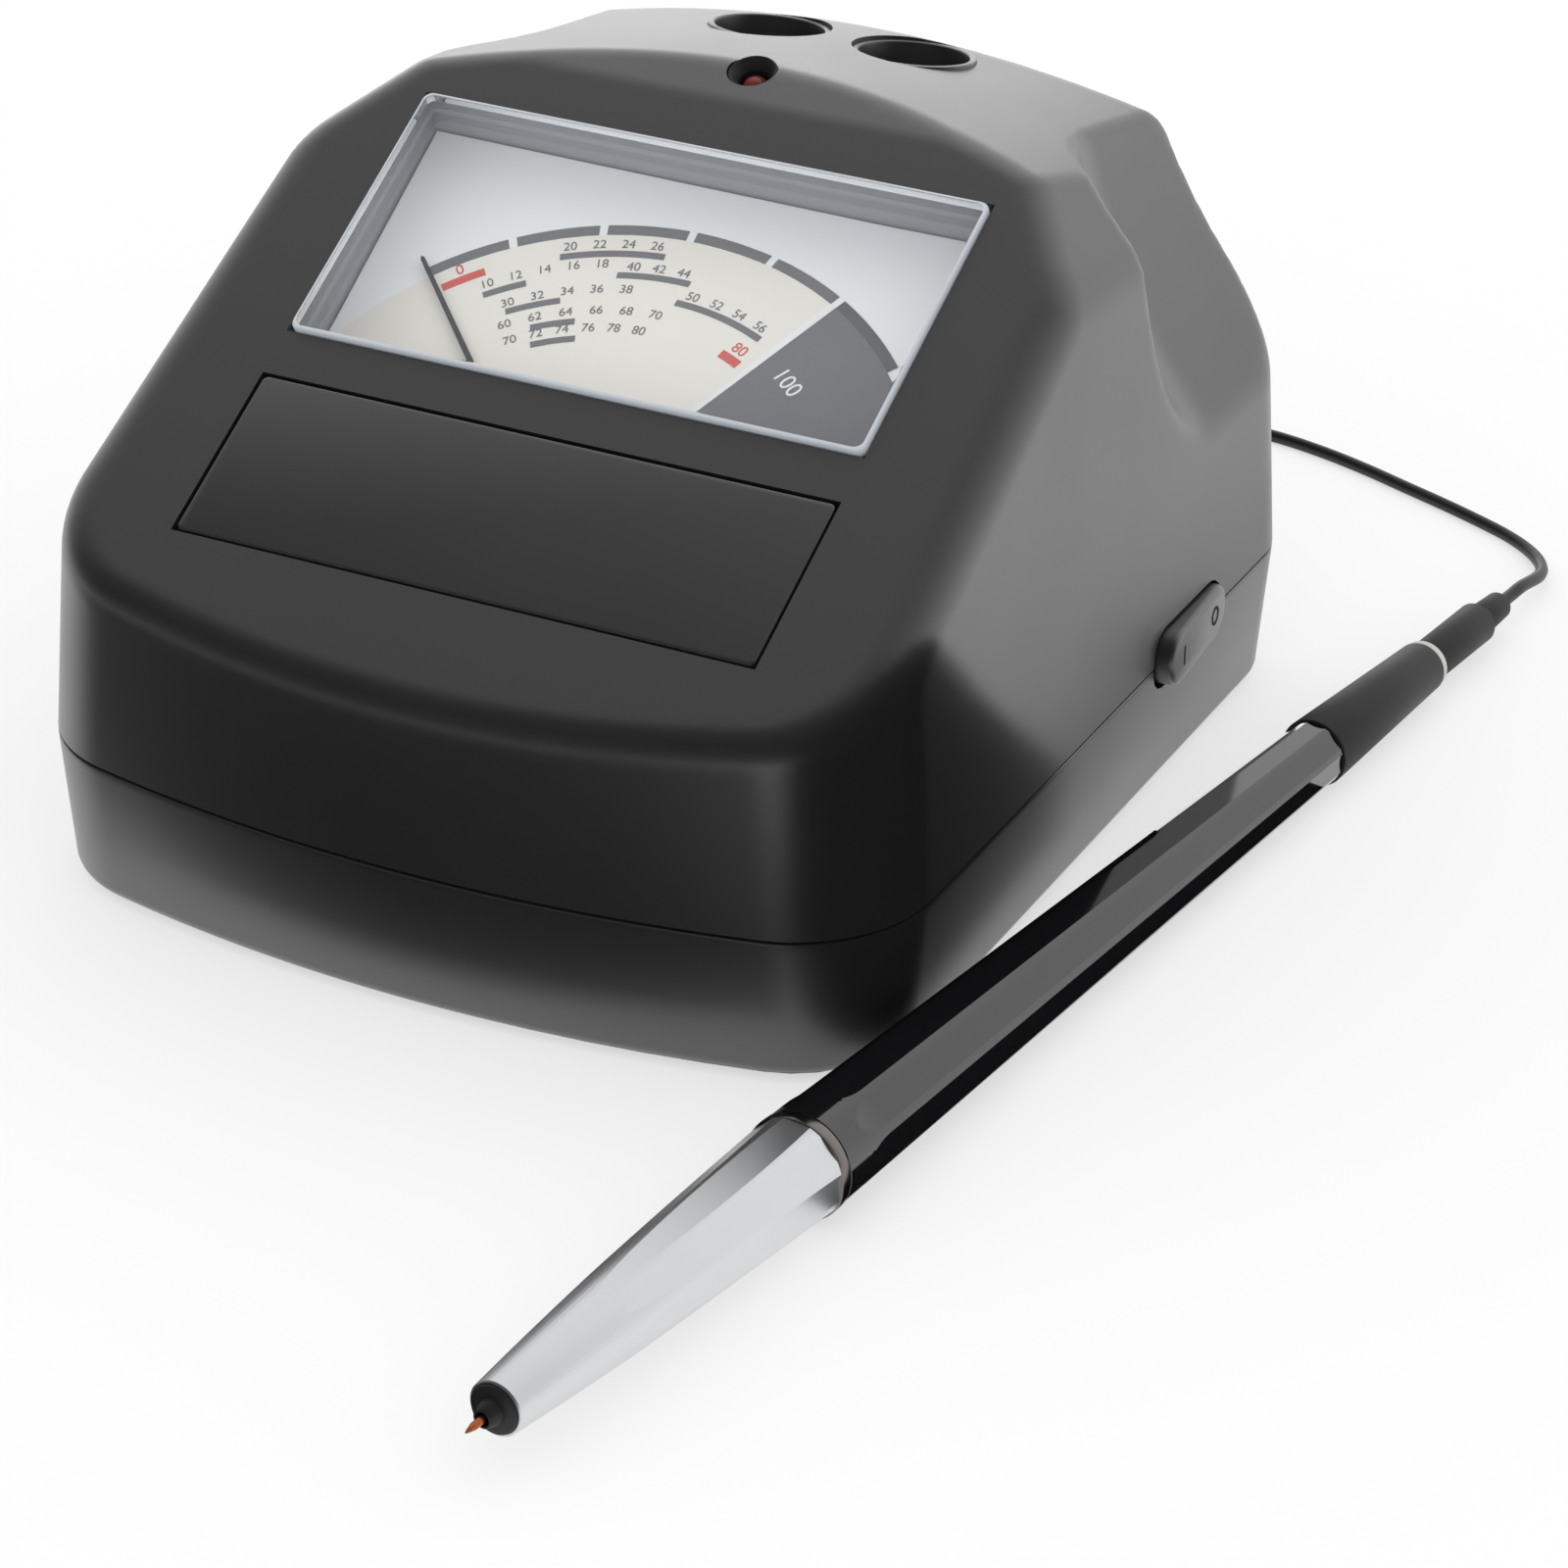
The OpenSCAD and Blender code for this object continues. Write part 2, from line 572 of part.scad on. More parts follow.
module base_shell() color([0.21, 0.21, 0.23]) difference() {
    union() {
        difference() {
            hull() {
                slab(base_top - 0.2, 0.2, plan(0));
                slab(foot_h + base_edge_r, 0.2, plan(base_draft));
                slab(foot_h + base_edge_r * 0.3, 0.2, plan(base_draft + base_edge_r * 0.3));
                slab(foot_h, 0.2, plan(base_draft + base_edge_r));
            }
            hull() {
                slab(base_top + 0.8, 0.2, plan(wall));
                slab(floor_top, 0.2, plan(wall + base_draft));
            }
        }
        difference() {
            slab(base_top - 3, 4.6, plan(wall + 0.3));
            slab(base_top - 4, 7, plan(wall + 1.3));
        }
        difference() {
            slab(base_top - 3, 3, plan(wall / 2));
            slab(base_top - 4, 7, plan(wall + 1.3));
        }
        at_each(case_posts) rod(post_r, foot_h + 0.5, base_h);
        at_each(board_holes) rod(board_post_r, foot_h + 0.5, board_z);
        block([-bay_w / 2 - bay_wall, -bay_l / 2 - bay_wall, foot_h + 0.5],
            [bay_w / 2 + bay_wall, bay_l / 2 + bay_wall, bay_roof]);
        translate([0, door_screw_y, 0]) rod(3.4, foot_h + 0.5, 12);
        block([switch_x0, rocker_y - 6, floor_top - 0.5],
            [switch_x0 + 4, rocker_y + 6, base_h - switch_half_h]);
    }
    at_each(case_posts) {
        rod(screw_head_r + 0.3, -1, case_screw_z);
        rod(screw_hole_r + 0.1, 0, base_h + 1);
    }
    at_each(board_holes) rod(screw_hole_r, board_z - board_screw_bite - 0.5, board_z + 1);
    block([-bay_w / 2, -bay_l / 2, -1], [bay_w / 2, bay_l / 2, bay_top]);
    block([-bay_w / 2 - door_lip - fit, door_screw_y - door_tab - fit, -1],
        [bay_w / 2 + door_lip + fit, bay_l / 2 + door_lip + fit, bay_bottom]);
    translate([0, door_screw_y, 0]) rod(screw_hole_r, 1, 10.5);
    difference() {
        slab(-1, foot_h + 1.8, plan(base_draft + base_edge_r + 0.5));
        slab(-2, foot_h + 4, plan(base_draft + base_edge_r + 0.5 + foot_w));
    }
    rocker_opening();
    translate([relief_x, back_y - wall - 4, relief_z]) rotate([-90, 0, 0])
        rod(relief_r + running, 0, wall + 8);
}

module foot_ring() color([0.08, 0.08, 0.08]) difference() {
    slab(0, foot_h + 0.8, plan(base_draft + base_edge_r + 0.5 + seat));
    slab(-1, foot_h + 3, plan(base_draft + base_edge_r + 0.5 - seat + foot_w));
}

module pan_screw(z_head, z_tip, r) {
    difference() {
        rod(screw_head_r, z_head - screw_head_h, z_head);
        block([-1.8, -0.3, z_head - screw_head_h - 1], [1.8, 0.3, z_head - screw_head_h + 0.9]);
        block([-0.3, -1.8, z_head - screw_head_h - 1], [0.3, 1.8, z_head - screw_head_h + 0.9]);
    }
    rod(r, z_head - 0.1, z_tip);
}

module case_screws() color([0.5, 0.5, 0.52]) at_each(case_posts)
    pan_screw(case_screw_z, case_screw_top, screw_r);

module battery_door() color([0.22, 0.22, 0.24]) difference() {
    block([-bay_w / 2 - door_lip, door_screw_y - door_tab, foot_h],
        [bay_w / 2 + door_lip, bay_l / 2 + door_lip, bay_bottom]);
    translate([0, door_screw_y, 0]) rod(screw_hole_r + 0.1, 0, bay_bottom + 1);
    translate([0, door_screw_y, 0]) rod(screw_head_r + 0.3, 0, foot_h + 1.1);
    for (k = [-3:3]) block([-12, bay_l / 2 - 6 + k * 1.6, -1], [12, bay_l / 2 - 5.2 + k * 1.6, foot_h + 0.5]);
}

module door_screw() color([0.5, 0.5, 0.52]) translate([0, door_screw_y, 0]) {
    rod(screw_head_r, foot_h + 0.1, foot_h + 1.1);
    rod(screw_r, foot_h + 1, 10);
}

// Cells lie side by side, turned end for end in turn
module batteries() color([0.75, 0.6, 0.25]) for (k = [0:cells - 1])
    translate([(k - (cells - 1) / 2) * cell_pitch, 0, cell_z]) rotate([k % 2 == 0 ? -90 : 90, 0, 0]) {
        rod(cell_d / 2, -cell_len / 2, cell_len / 2);
        rod(button_r, cell_len / 2 - 0.1, cell_len / 2 + 1);
    }

module battery_contacts() color([0.8, 0.8, 0.78]) for (k = [0:cells - 1])
    translate([(k - (cells - 1) / 2) * cell_pitch, 0, cell_z]) rotate([k % 2 == 0 ? -90 : 90, 0, 0]) {
        block([-contact_half, -contact_half, bay_l / 2 - 0.5], [contact_half, contact_half, bay_l / 2]);
        taper(button_r - 0.6, contact_half - 1.6, cell_len / 2 + 1, bay_l / 2 - 0.4);
        block([-contact_half, -contact_half, -bay_l / 2], [contact_half, contact_half, 0.5 - bay_l / 2]);
        taper(contact_half - 0.6, button_r, 0.4 - bay_l / 2, -cell_len / 2);
    }

module circuit_board() color([0.1, 0.35, 0.2]) difference() {
    block([-board_half[0], board_y - board_half[1], board_z],
        [board_half[0], board_y + board_half[1], board_z + board_t]);
    at_each(board_holes) rod(screw_hole_r + 0.1, board_z - 1, board_z + board_t + 1);
}

module on_board(size, at) translate([at[0] * board_half[0] - size[0] / 2,
    board_y + at[1] * board_half[1] - size[1] / 2, board_z + board_t]) cube(size);
module board_parts() color([0.15, 0.15, 0.16]) {
    z = board_z + board_t;
    on_board(relay, [-0.38, 0.32]);
    on_board(driver_chip, [0.27, 0.42]);
    on_board(sense_chip, [0.22, -0.06]);
    on_board(lead_plug, [-0.5, 0.78]);
    on_board(lamp_plug, [0.68, -0.78]);
    for (k = [0:2]) translate([board_half[0] / 2 + k * (2 * cap_r + 0.4), board_y + board_half[1] / 2, 0])
        rod(cap_r, z, z + cap_h);
    for (k = [0:3])
        translate([k * (2 * resistor_r + 3) - board_half[0] * 0.75, board_y - board_half[1] * 0.4, 0])
            rod(resistor_r, z, z + resistor_h);
}

module board_screws() color([0.6, 0.6, 0.62]) at_each(board_holes) {
    rod(screw_head_r, board_z + board_t, board_z + board_t + screw_head_h);
    rod(screw_r, board_z - board_screw_bite, board_z + board_t + 0.1);
}

module meter_window() color([0.8, 0.9, 0.95, 0.35]) on_panel() {
    block([-win_w / 2, win_foot, flange_top - 0.1], [win_w / 2, win_foot + win_h, win_proud]);
    block([-win_w / 2 - win_lip, win_foot - win_lip, rim_top],
        [win_w / 2 + win_lip, win_foot + win_h + win_lip, flange_top]);
}

module meter_case() color([0.75, 0.76, 0.78]) on_panel() difference() {
    union() {
        difference() {
            block([-meter_w / 2, meter_foot, -meter_depth], [meter_w / 2, meter_head, rim_top]);
            block([meter_wall - meter_w / 2, meter_foot + meter_wall, meter_floor],
                [meter_w / 2 - meter_wall, meter_head - meter_wall, 1]);
        }
        for (s = [-1, 1]) block([s * (meter_w / 2 - 2.5) - 1.2, card_foot, card_bottom - 1.5],
            [s * (meter_w / 2 - 2.5) + 1.2, meter_head - 1, card_bottom]);
        block([-meter_w / 2 + 1, meter_head - meter_wall - 2, card_bottom - 1.5],
            [meter_w / 2 - 1, meter_head - 1, card_bottom]);
        for (u = ear_ups, s = [0, 180]) translate([0, u, 0]) rotate([0, 0, s])
            block([meter_w / 2 - 0.5, -3, ear_top - ear_t], [ear_x + 2.6, 3, ear_top]);
    }
    on_ears() rod(screw_hole_r + 0.1, ear_top - ear_t - 1, ear_top + 1);
    translate([0, pivot_up, 0]) rod(jewel_r + running, -meter_depth - 1, meter_floor + 1);
}

module meter_screws() color([0.6, 0.6, 0.62]) on_panel() on_ears() {
    rod(2.2, ear_top - ear_t - 1.5, ear_top - ear_t);
    rod(screw_r, ear_top - ear_t - 0.1, -wall - 0.8);
}

module dial_card() color([0.95, 0.95, 0.93]) on_panel()
    block([meter_wall + 0.3 - meter_w / 2, card_foot, card_bottom],
        [meter_w / 2 - meter_wall - 0.3, meter_head - meter_wall - 0.2, -dial_depth]);

module ring_magnet() color([0.3, 0.3, 0.32]) on_pivot() difference() {
    rod(magnet_r, meter_floor, magnet_top);
    rod(magnet_bore_r, meter_floor - 1, magnet_top + 1);
}

// Soft iron core, carried by two straps from the magnet at the ends where the coil doesn't swing
module iron_core() color([0.55, 0.55, 0.56]) on_pivot() {
    rod(core_r, core_bottom, core_bottom + core_h);
    block([-1.5, -magnet_bore_r - 0.2, core_bottom + 2], [1.5, magnet_bore_r + 0.2, core_bottom + 5]);
}

module movement_bridge() color([0.72, 0.6, 0.3]) on_pivot() {
    x = magnet_r + 2;
    difference() {
        block([-x - 2.5, -2.5, bridge_bottom], [x + 2.5, 2.5, bridge_bottom + bridge_t]);
        rod(jewel_r + running, bridge_bottom - 1, bridge_bottom + bridge_t + 1);
    }
    for (s = [-1, 1]) translate([s * (x + 1.25), 0, 0])
        block([-1.25, -2.5, meter_floor], [1.25, 2.5, bridge_bottom + 0.1]);
    translate([stud_x, 0, 0]) rod(0.5, spring_z - 0.2, bridge_bottom + 0.1);
}

module jewel_bearings() color([0.7, 0.1, 0.2]) on_pivot() {
    difference() {
        rod(jewel_r, bridge_bottom, bridge_bottom + bridge_t);
        rod(pivot_r + running, bridge_bottom - 1, bridge_bottom + bridge_t - 0.4);
    }
    difference() {
        rod(jewel_r, -meter_depth, meter_floor);
        rod(pivot_r + running, -meter_depth + 0.5, meter_floor + 1);
    }
}

// Flat spiral spring from the arbor's collet to the bridge's stud
module hairspring() color([0.75, 0.65, 0.35]) on_pivot() translate([0, 0, spring_z]) linear_extrude(0.3) {
    turns = 4;
    steps = 96;
    r0 = arbor_r + running + 0.15;
    r1 = stud_x - 0.7;
    side = [for (k = [0:steps]) toward(360 * turns * k / steps)];
    polygon(concat(
        [for (k = [0:steps]) (r0 + (r1 - r0) * k / steps + 0.12) * side[k]],
        [for (k = [steps:-1:0]) (r0 + (r1 - r0) * k / steps - 0.12) * side[k]]));
}

module pointer() color([0.12, 0.12, 0.13]) on_pivot() rotate([0, 0, pointer_rest])
    translate([0, 0, pointer_z]) linear_extrude(pointer_t) {
        circle(1.8, $fn = fine);
        polygon([[-0.6, 0], [0.6, 0], [0.2, pointer_len], [-0.2, pointer_len]]);
        polygon([[-0.6, 0], [0.6, 0], [1.1, -7], [-1.1, -7]]);
    }

module moving_coil() color([0.7, 0.35, 0.18]) on_pivot() rotate([0, 0, pointer_rest]) difference() {
    block([-coil_half, -coil_t / 2, coil_bottom], [coil_half, coil_t / 2, coil_top]);
    block([coil_bar - coil_half, -coil_t, coil_bottom + coil_bar],
        [coil_half - coil_bar, coil_t, coil_top - coil_bar]);
}

module arbor() color([0.7, 0.7, 0.72]) on_pivot() {
    rod(arbor_r, coil_top, pointer_z);
    rod(arbor_r, pointer_z + pointer_t, bridge_bottom - 0.2);
    rod(pivot_r, bridge_bottom - 0.3, bridge_bottom + bridge_t - 0.5);
    rod(arbor_r, meter_floor + 0.2, coil_bottom);
    rod(pivot_r, 0.6 - meter_depth, meter_floor + 0.3);
}

module nameplate() color([0.17, 0.17, 0.18]) on_panel()
    block([-plate_w / 2, 0, -plate_t], [plate_w / 2, plate_h, 0]);

module ready_lamp() color([0.8, 0.25, 0.25]) on_crescent() {
    translate([0, 0, -1.2 - lamp_r]) sphere(lamp_r, $fn = fine);
    rod(lamp_r, -lamp_holder_len, -1.2 - lamp_r);
    rod(lamp_r + 0.3, -lamp_holder_len - 1, -lamp_holder_len);
    for (s = [-1, 1]) translate([s * 0.6, 0, 0]) rod(0.25, -lamp_holder_len - 9, -lamp_holder_len - 0.9);
}

module lamp_holder() color([0.05, 0.05, 0.05]) on_crescent() difference() {
    union() {
        rod(lamp_holder_r, -lamp_holder_len, -0.2);
        rod(lamp_holder_r + 0.9, -lamp_holder_len, -wall - 1.9);
    }
    rod(lamp_r + running, -lamp_holder_len - 1, 1);
    taper(lamp_r + running, lamp_holder_r - 0.25, -1.4, 0);
}

module test_wells() color([0.06, 0.06, 0.06]) on_wells() difference() {
    rod(well_r + well_wall, -well_depth - well_wall, -0.3);
    rod(well_r, -well_depth, 1);
}

module test_discs() color([0.6, 0.63, 0.66]) on_wells() rod(well_r - seat, -well_depth, disc_t - well_depth);

// Rocker with its pin, turned to its rest side
module rocker() color([0.12, 0.12, 0.13]) rocker_frame() rotate([0, rocker_tilt, 0]) {
    reach = case_w / 2 - rocker_axis_x + rocker_proud;
    translate([0, 0, 2.4]) linear_extrude(reach - 2.4) rocker_profile(0);
    block([-2.2, -2.4, 0], [2.2, 2.4, 2.5]);
    rotate([90, 0, 0]) rod(switch_pin_r, -4, 4);
    rotate([90, 0, 0]) rod(2.2, -2.4, 2.4);
}

module switch_body() color([0.2, 0.2, 0.21]) rocker_frame() difference() {
    union() {
        block([-switch_half_l, -switch_half_h, -switch_depth], [switch_half_l, switch_half_h, -2.6]);
        for (s = [-1, 1]) block([-2.2, s > 0 ? 2.6 : -4.2, -2.7], [2.2, s > 0 ? 4.2 : -2.6, 1.6]);
    }
    rotate([90, 0, 0]) rod(switch_pin_r + running, -6, 6);
}

// Strain relief moulded on the lead: nut inside the case, flange outside, then a taper
module strain_relief() color([0.07, 0.07, 0.07]) translate([relief_x, back_y, relief_z]) rotate([-90, 0, 0]) {
    rod(relief_r, -wall - relief_nut_gap, 0.2);
    rod(relief_flange_r, -wall - relief_nut_gap - relief_flange_t, -wall - relief_nut_gap + 0.1);
    rod(relief_flange_r, 0.1, relief_flange_t);
    taper(relief_root_r, relief_end_r, relief_flange_t - 0.1, relief_len);
}

module lead_from_case() color([0.05, 0.05, 0.05])
    tube_along(smooth(from_case_route, 1), lead_r, 8, [0, 1, 0], [0, 1, 0]);

module lead_coil() color([0.05, 0.05, 0.05]) tube_along(coil_path, lead_r, 6, [0, 1, 0], [1, 0, 0]);

module lead_tie() color([0.1, 0.1, 0.1]) {
    mid_r = (coil_out_r + coil_in_r) / 2;
    half = (coil_out_r - coil_in_r) / 2 + lead_r + 0.3;
    z0 = coil_z - lead_r - 0.3;
    z1 = coil_z + coil_step * (coil_layers - 1) + lead_r + 0.3;
    translate([coil_centre[0] + mid_r, coil_centre[1], 0]) difference() {
        block([-half - 0.6, -2, z0 - 0.6], [half + 0.6, 2, z1 + 0.6]);
        block([-half, -3, z0], [half, 3, z1]);
    }
}

module lead_to_pen() color([0.05, 0.05, 0.05])
    tube_along(smooth(concat(to_pen_route, [tail + 6 * tail_dir, tail + 3 * tail_dir, tail]), 2),
        lead_r, 8, [1, 0, 0], -tail_dir);

// Pen pieces are drawn along their own axis, tip down, and laid on the counter
function facet_points(r, chamfer) = [for (k = [0:7], s = [-1, 1])
    let (a = 45 * k, w = r * tan(22.5) - chamfer / (2 * cos(22.5)))
    [r * cos(a) - s * w * sin(a), r * sin(a) + s * w * cos(a)]];
module on_barrel() on_pen() rotate([0, 0, pen_roll]) children();

// Nose cone with a swelled side; its flats begin where the flats' straight line meets the swell
nose_rear_r = ring_r - 0.1;
nose_steps = 10;
function nose_r(share) = nose_front_r + (nose_rear_r - nose_front_r) * share
    + 4 * nose_swell * share * (1 - share);
nose_flat_rear = nose_rear_r - nose_flat_depth;
nose_flat_front = nose_flat_rear - (nose_flat_rear - nose_r(nose_flat_from)) / (1 - nose_flat_from);
module nose_cone() color([0.78, 0.78, 0.8]) on_barrel() difference() {
    union() {
        intersection() {
            rotate_extrude($fn = fine) polygon(concat([[0, nose_front]],
                [for (k = [0:nose_steps]) [nose_r(k / nose_steps), nose_front + nose_len * k / nose_steps]],
                [[0, nose_back]]));
            hull() {
                slab(nose_back - 0.1, 0.1, facet_points(nose_flat_rear, 0.3));
                slab(nose_front, 0.1, facet_points(nose_flat_front, 0.3));
            }
        }
        rod(tenon_r, nose_back - 0.1, tenon_len);
    }
    rod(head_r + running, nose_front - 1, nose_front + head_in);
    rod(carriage_r + running, nose_front - 1, block_at);
    rod(block_r + running, block_at, tenon_len + 1);
}

module nose_ring() color([0.25, 0.25, 0.27]) on_pen() difference() {
    rod(ring_r, nose_back, 0);
    rod(tenon_r + running, nose_back - 1, 1);
}

module barrel() color([0.06, 0.06, 0.07]) on_barrel() difference() {
    union() {
        hull() {
            slab(0, 0.1, facet_points(barrel_front_r, barrel_chamfer));
            slab(sleeve_at - 0.1, 0.1, facet_points(barrel_rear_r, barrel_chamfer * rear_share));
        }
        rod(ring_r - 0.05, 0, barrel_collar_len);
        rod(spigot_r, sleeve_at - 1, sleeve_at + spigot_len);
    }
    rod(tenon_r + running, -1, tenon_len + 0.2);
    rod(1.5, 0, sleeve_at + spigot_len + 1);
}

module sleeve() color([0.1, 0.1, 0.11]) on_pen() difference() {
    taper(sleeve_front_r, sleeve_rear_r, sleeve_at, sleeve_end);
    rod(spigot_r + running, sleeve_at - 1, sleeve_at + spigot_len + 0.2);
    rod(neck_tenon_r + running, sleeve_at, sleeve_end + 1);
}

module sleeve_ring() color([0.75, 0.75, 0.72]) on_pen() difference() {
    rod(sleeve_rear_r - 0.15, sleeve_end, neck_at);
    rod(neck_tenon_r + running, sleeve_end - 1, neck_at + 1);
}

module neck() color([0.09, 0.09, 0.1]) on_pen() difference() {
    union() {
        rod(neck_r, neck_at, collar_at);
        rod(neck_tenon_r, neck_at - neck_tenon_len, neck_at + 0.1);
    }
    rod(lead_bore_r, neck_at - neck_tenon_len - 1, collar_at + 1);
}

module end_collar() color([0.07, 0.07, 0.08]) on_pen() taper(collar_r, collar_r - 0.25, collar_at, tail_at);

module tip_insulator() color([0.05, 0.05, 0.05]) on_pen() difference() {
    union() {
        taper(boss_r, boss_base_r, nose_front - insulator_out, nose_front - head_out + 0.1);
        rod(head_r, nose_front - head_out, nose_front + head_in);
        rod(insulator_r, nose_front + head_in - 0.1, insulator_back);
    }
    rod(tip_r + running, nose_front - insulator_out - 1, insulator_back + 1);
}

module terminal_block() color([0.85, 0.82, 0.7]) on_pen() rod(block_r, block_at, block_at + block_len);

module inner_lead() color([0.05, 0.05, 0.05]) on_pen() rod(lead_r, block_at + block_len, collar_at);

// Return spring behind the tip, a helix with straight ends
module tip_spring() color([0.7, 0.7, 0.72]) on_pen() {
    turns = 5;
    wire_r = 0.25;
    coil_r = 1.6;
    z0 = carriage_back + wire_r;
    z1 = block_at - wire_r;
    steps = turns * 12;
    path = [for (k = [0:steps]) [coil_r * cos(360 * turns * k / steps), coil_r * sin(360 * turns * k / steps),
        z0 + (z1 - z0) * k / steps]];
    tube_along(path, wire_r, 6, [0, 1, 0], [0, 1, 0]);
}

module tip_carriage() color([0.8, 0.78, 0.6]) on_pen() rod(carriage_r, carriage_front, carriage_back);

module probe_tip() color([0.72, 0.42, 0.25]) on_pen() {
    front = nose_front - insulator_out;
    taper(0.1, tip_point_r, front - tip_out, front - tip_out + 1.2);
    rod(tip_point_r, front - tip_out + 1.2, front + 0.2);
    rod(tip_r, front + 0.1 + tip_travel, carriage_front);
    rod(tip_point_r, front + 0.1, front + 0.2 + tip_travel);
}

base_shell();
upper_shell();
foot_ring();
case_screws();
battery_door();
door_screw();
batteries();
battery_contacts();
circuit_board();
board_parts();
board_screws();
meter_window();
meter_case();
meter_screws();
dial_card();
ring_magnet();
iron_core();
movement_bridge();
jewel_bearings();
hairspring();
pointer();
moving_coil();
arbor();
nameplate();
ready_lamp();
lamp_holder();
test_wells();
test_discs();
rocker();
switch_body();
strain_relief();
lead_from_case();
lead_coil();
lead_tie();
lead_to_pen();
nose_cone();
nose_ring();
barrel();
sleeve();
sleeve_ring();
neck();
end_collar();
tip_insulator();
terminal_block();
inner_lead();
tip_spring();
tip_carriage();
probe_tip();
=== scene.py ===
# %% [markdown]
# # A counter-top gem tester and its probe pen
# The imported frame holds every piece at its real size. This lesson dresses it: a satin case with scooped
# shoulders, a pointer meter behind a clear cover, and an eight-sided pen with a chromed nose. Sizes below
# are in millimetres, as on a drawing, and each mesh is scaled to metres at the end.

# %% Open the frame
import math

import bmesh
import bpy
import numpy as np
from mathutils import Matrix, Vector
from mathutils.bvhtree import BVHTree


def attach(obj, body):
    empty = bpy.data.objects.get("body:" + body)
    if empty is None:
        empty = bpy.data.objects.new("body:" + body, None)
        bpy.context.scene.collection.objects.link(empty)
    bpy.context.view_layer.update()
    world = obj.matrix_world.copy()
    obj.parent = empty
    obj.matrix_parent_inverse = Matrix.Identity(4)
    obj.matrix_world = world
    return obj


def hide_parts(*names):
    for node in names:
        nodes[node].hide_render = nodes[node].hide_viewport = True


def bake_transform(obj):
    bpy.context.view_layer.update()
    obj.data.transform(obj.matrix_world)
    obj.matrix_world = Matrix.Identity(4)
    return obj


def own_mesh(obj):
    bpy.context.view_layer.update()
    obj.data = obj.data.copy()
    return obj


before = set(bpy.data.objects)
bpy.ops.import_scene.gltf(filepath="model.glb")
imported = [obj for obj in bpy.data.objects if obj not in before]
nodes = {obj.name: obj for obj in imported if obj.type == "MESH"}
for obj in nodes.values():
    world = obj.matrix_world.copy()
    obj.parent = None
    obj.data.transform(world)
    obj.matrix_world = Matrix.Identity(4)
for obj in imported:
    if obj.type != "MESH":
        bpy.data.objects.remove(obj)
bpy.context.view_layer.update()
scene = bpy.context.scene
scene.view_settings.view_transform = "Standard"
MM = 0.001


def put(name, data):
    piece = bpy.data.objects.new(name, data)
    scene.collection.objects.link(piece)
    return piece


# %% [markdown]
# ## Camera
# The picture was taken with a long lens from the front right, a little above the case. The lens, the
# distance and the shift come from fitting the case's straight edges, so nothing is adjusted by eye.

# %% Camera
camera = put("camera", bpy.data.cameras.new("camera"))
view_back = Vector((0.4050, -0.7805, 0.4762)).normalized()
camera.location = (0.2491, -0.4713, 0.2929)
camera.rotation_mode = "QUATERNION"
camera.rotation_quaternion = (-view_back).to_track_quat("-Z", "Y")
camera.data.sensor_width = 36
camera.data.lens = 128.55
camera.data.shift_x = 0.0503
camera.data.shift_y = -0.0290
camera.data.clip_start = 0.01
camera.data.clip_end = 20
scene.camera = camera
print("camera at", [round(v, 3) for v in camera.location])

# %% [markdown]
# ## Small helpers for materials
# Colours are written as they look on a screen, so one function turns them to the linear values that the
# shader wants. Another adds one node, sets its values and links what flows into it: a socket, or a node that
# stands for its first output. The last two open and close a material.

# %% Colour and node helpers
def srgb(code):
    channels = [int(code[i:i + 2], 16) / 255 for i in (1, 3, 5)]
    linear = [c / 12.92 if c <= 0.04045 else ((c + 0.055) / 1.055) ** 2.4 for c in channels]
    return (*linear, 1.0)


def add(tree, kind, values=None, links=None, **settings):
    node = tree.nodes.new(kind)
    for name, value in settings.items():
        setattr(node, name, value)
    for key, value in (values or {}).items():
        node.inputs[key].default_value = value
    for key, source in (links or {}).items():
        tree.links.new(getattr(source, "outputs", [source])[0], node.inputs[key])
    return node


def start_material(name):
    material = bpy.data.materials.new(name)
    material.use_nodes = True
    material.node_tree.nodes.clear()
    return material, material.node_tree


def end_material(tree, shader):
    add(tree, "ShaderNodeOutputMaterial", links={"Surface": shader})


# %% [markdown]
# ## Moulded and turned finishes
# Most pieces are one of two things: plastic that took the fine texture of its mould, or metal that was
# turned, plated or pressed. Both are a base colour with a little variation, a roughness that wanders, and a
# fine bump. The grain size is given in millimetres and turned into the noise's scale.

# %% A surface with grain
def grained(name, colour, second, roughness, spread, grain_mm, bump_mm, metallic=0.0, ior=1.5, coat=0.0,
            coat_rough=0.08, coat_ior=1.5):
    material, tree = start_material(name)
    place = add(tree, "ShaderNodeTexCoord")
    grain = add(tree, "ShaderNodeTexNoise", {"Scale": 1000 / grain_mm, "Detail": 3.0, "Roughness": 0.6},
                {"Vector": place.outputs["Object"]})
    cloud = add(tree, "ShaderNodeTexNoise", {"Scale": 1000 / (grain_mm * 60), "Detail": 4.0},
                {"Vector": place.outputs["Object"]})
    tint = add(tree, "ShaderNodeMixRGB", {"Color1": srgb(colour), "Color2": srgb(second)}, {"Fac": cloud})
    wander = add(tree, "ShaderNodeMapRange", {"From Min": 0.3, "From Max": 0.7, "To Min": roughness - spread,
                                             "To Max": roughness + spread}, {"Value": cloud})
    relief = add(tree, "ShaderNodeBump", {"Strength": 0.6, "Distance": bump_mm * MM}, {"Height": grain})
    skin = add(tree, "ShaderNodeBsdfPrincipled", {"Metallic": metallic, "IOR": ior, "Coat Weight": coat,
                                                  "Coat Roughness": coat_rough, "Coat IOR": coat_ior},
               {"Base Color": tint, "Roughness": wander, "Normal": relief})
    end_material(tree, skin)
    return material


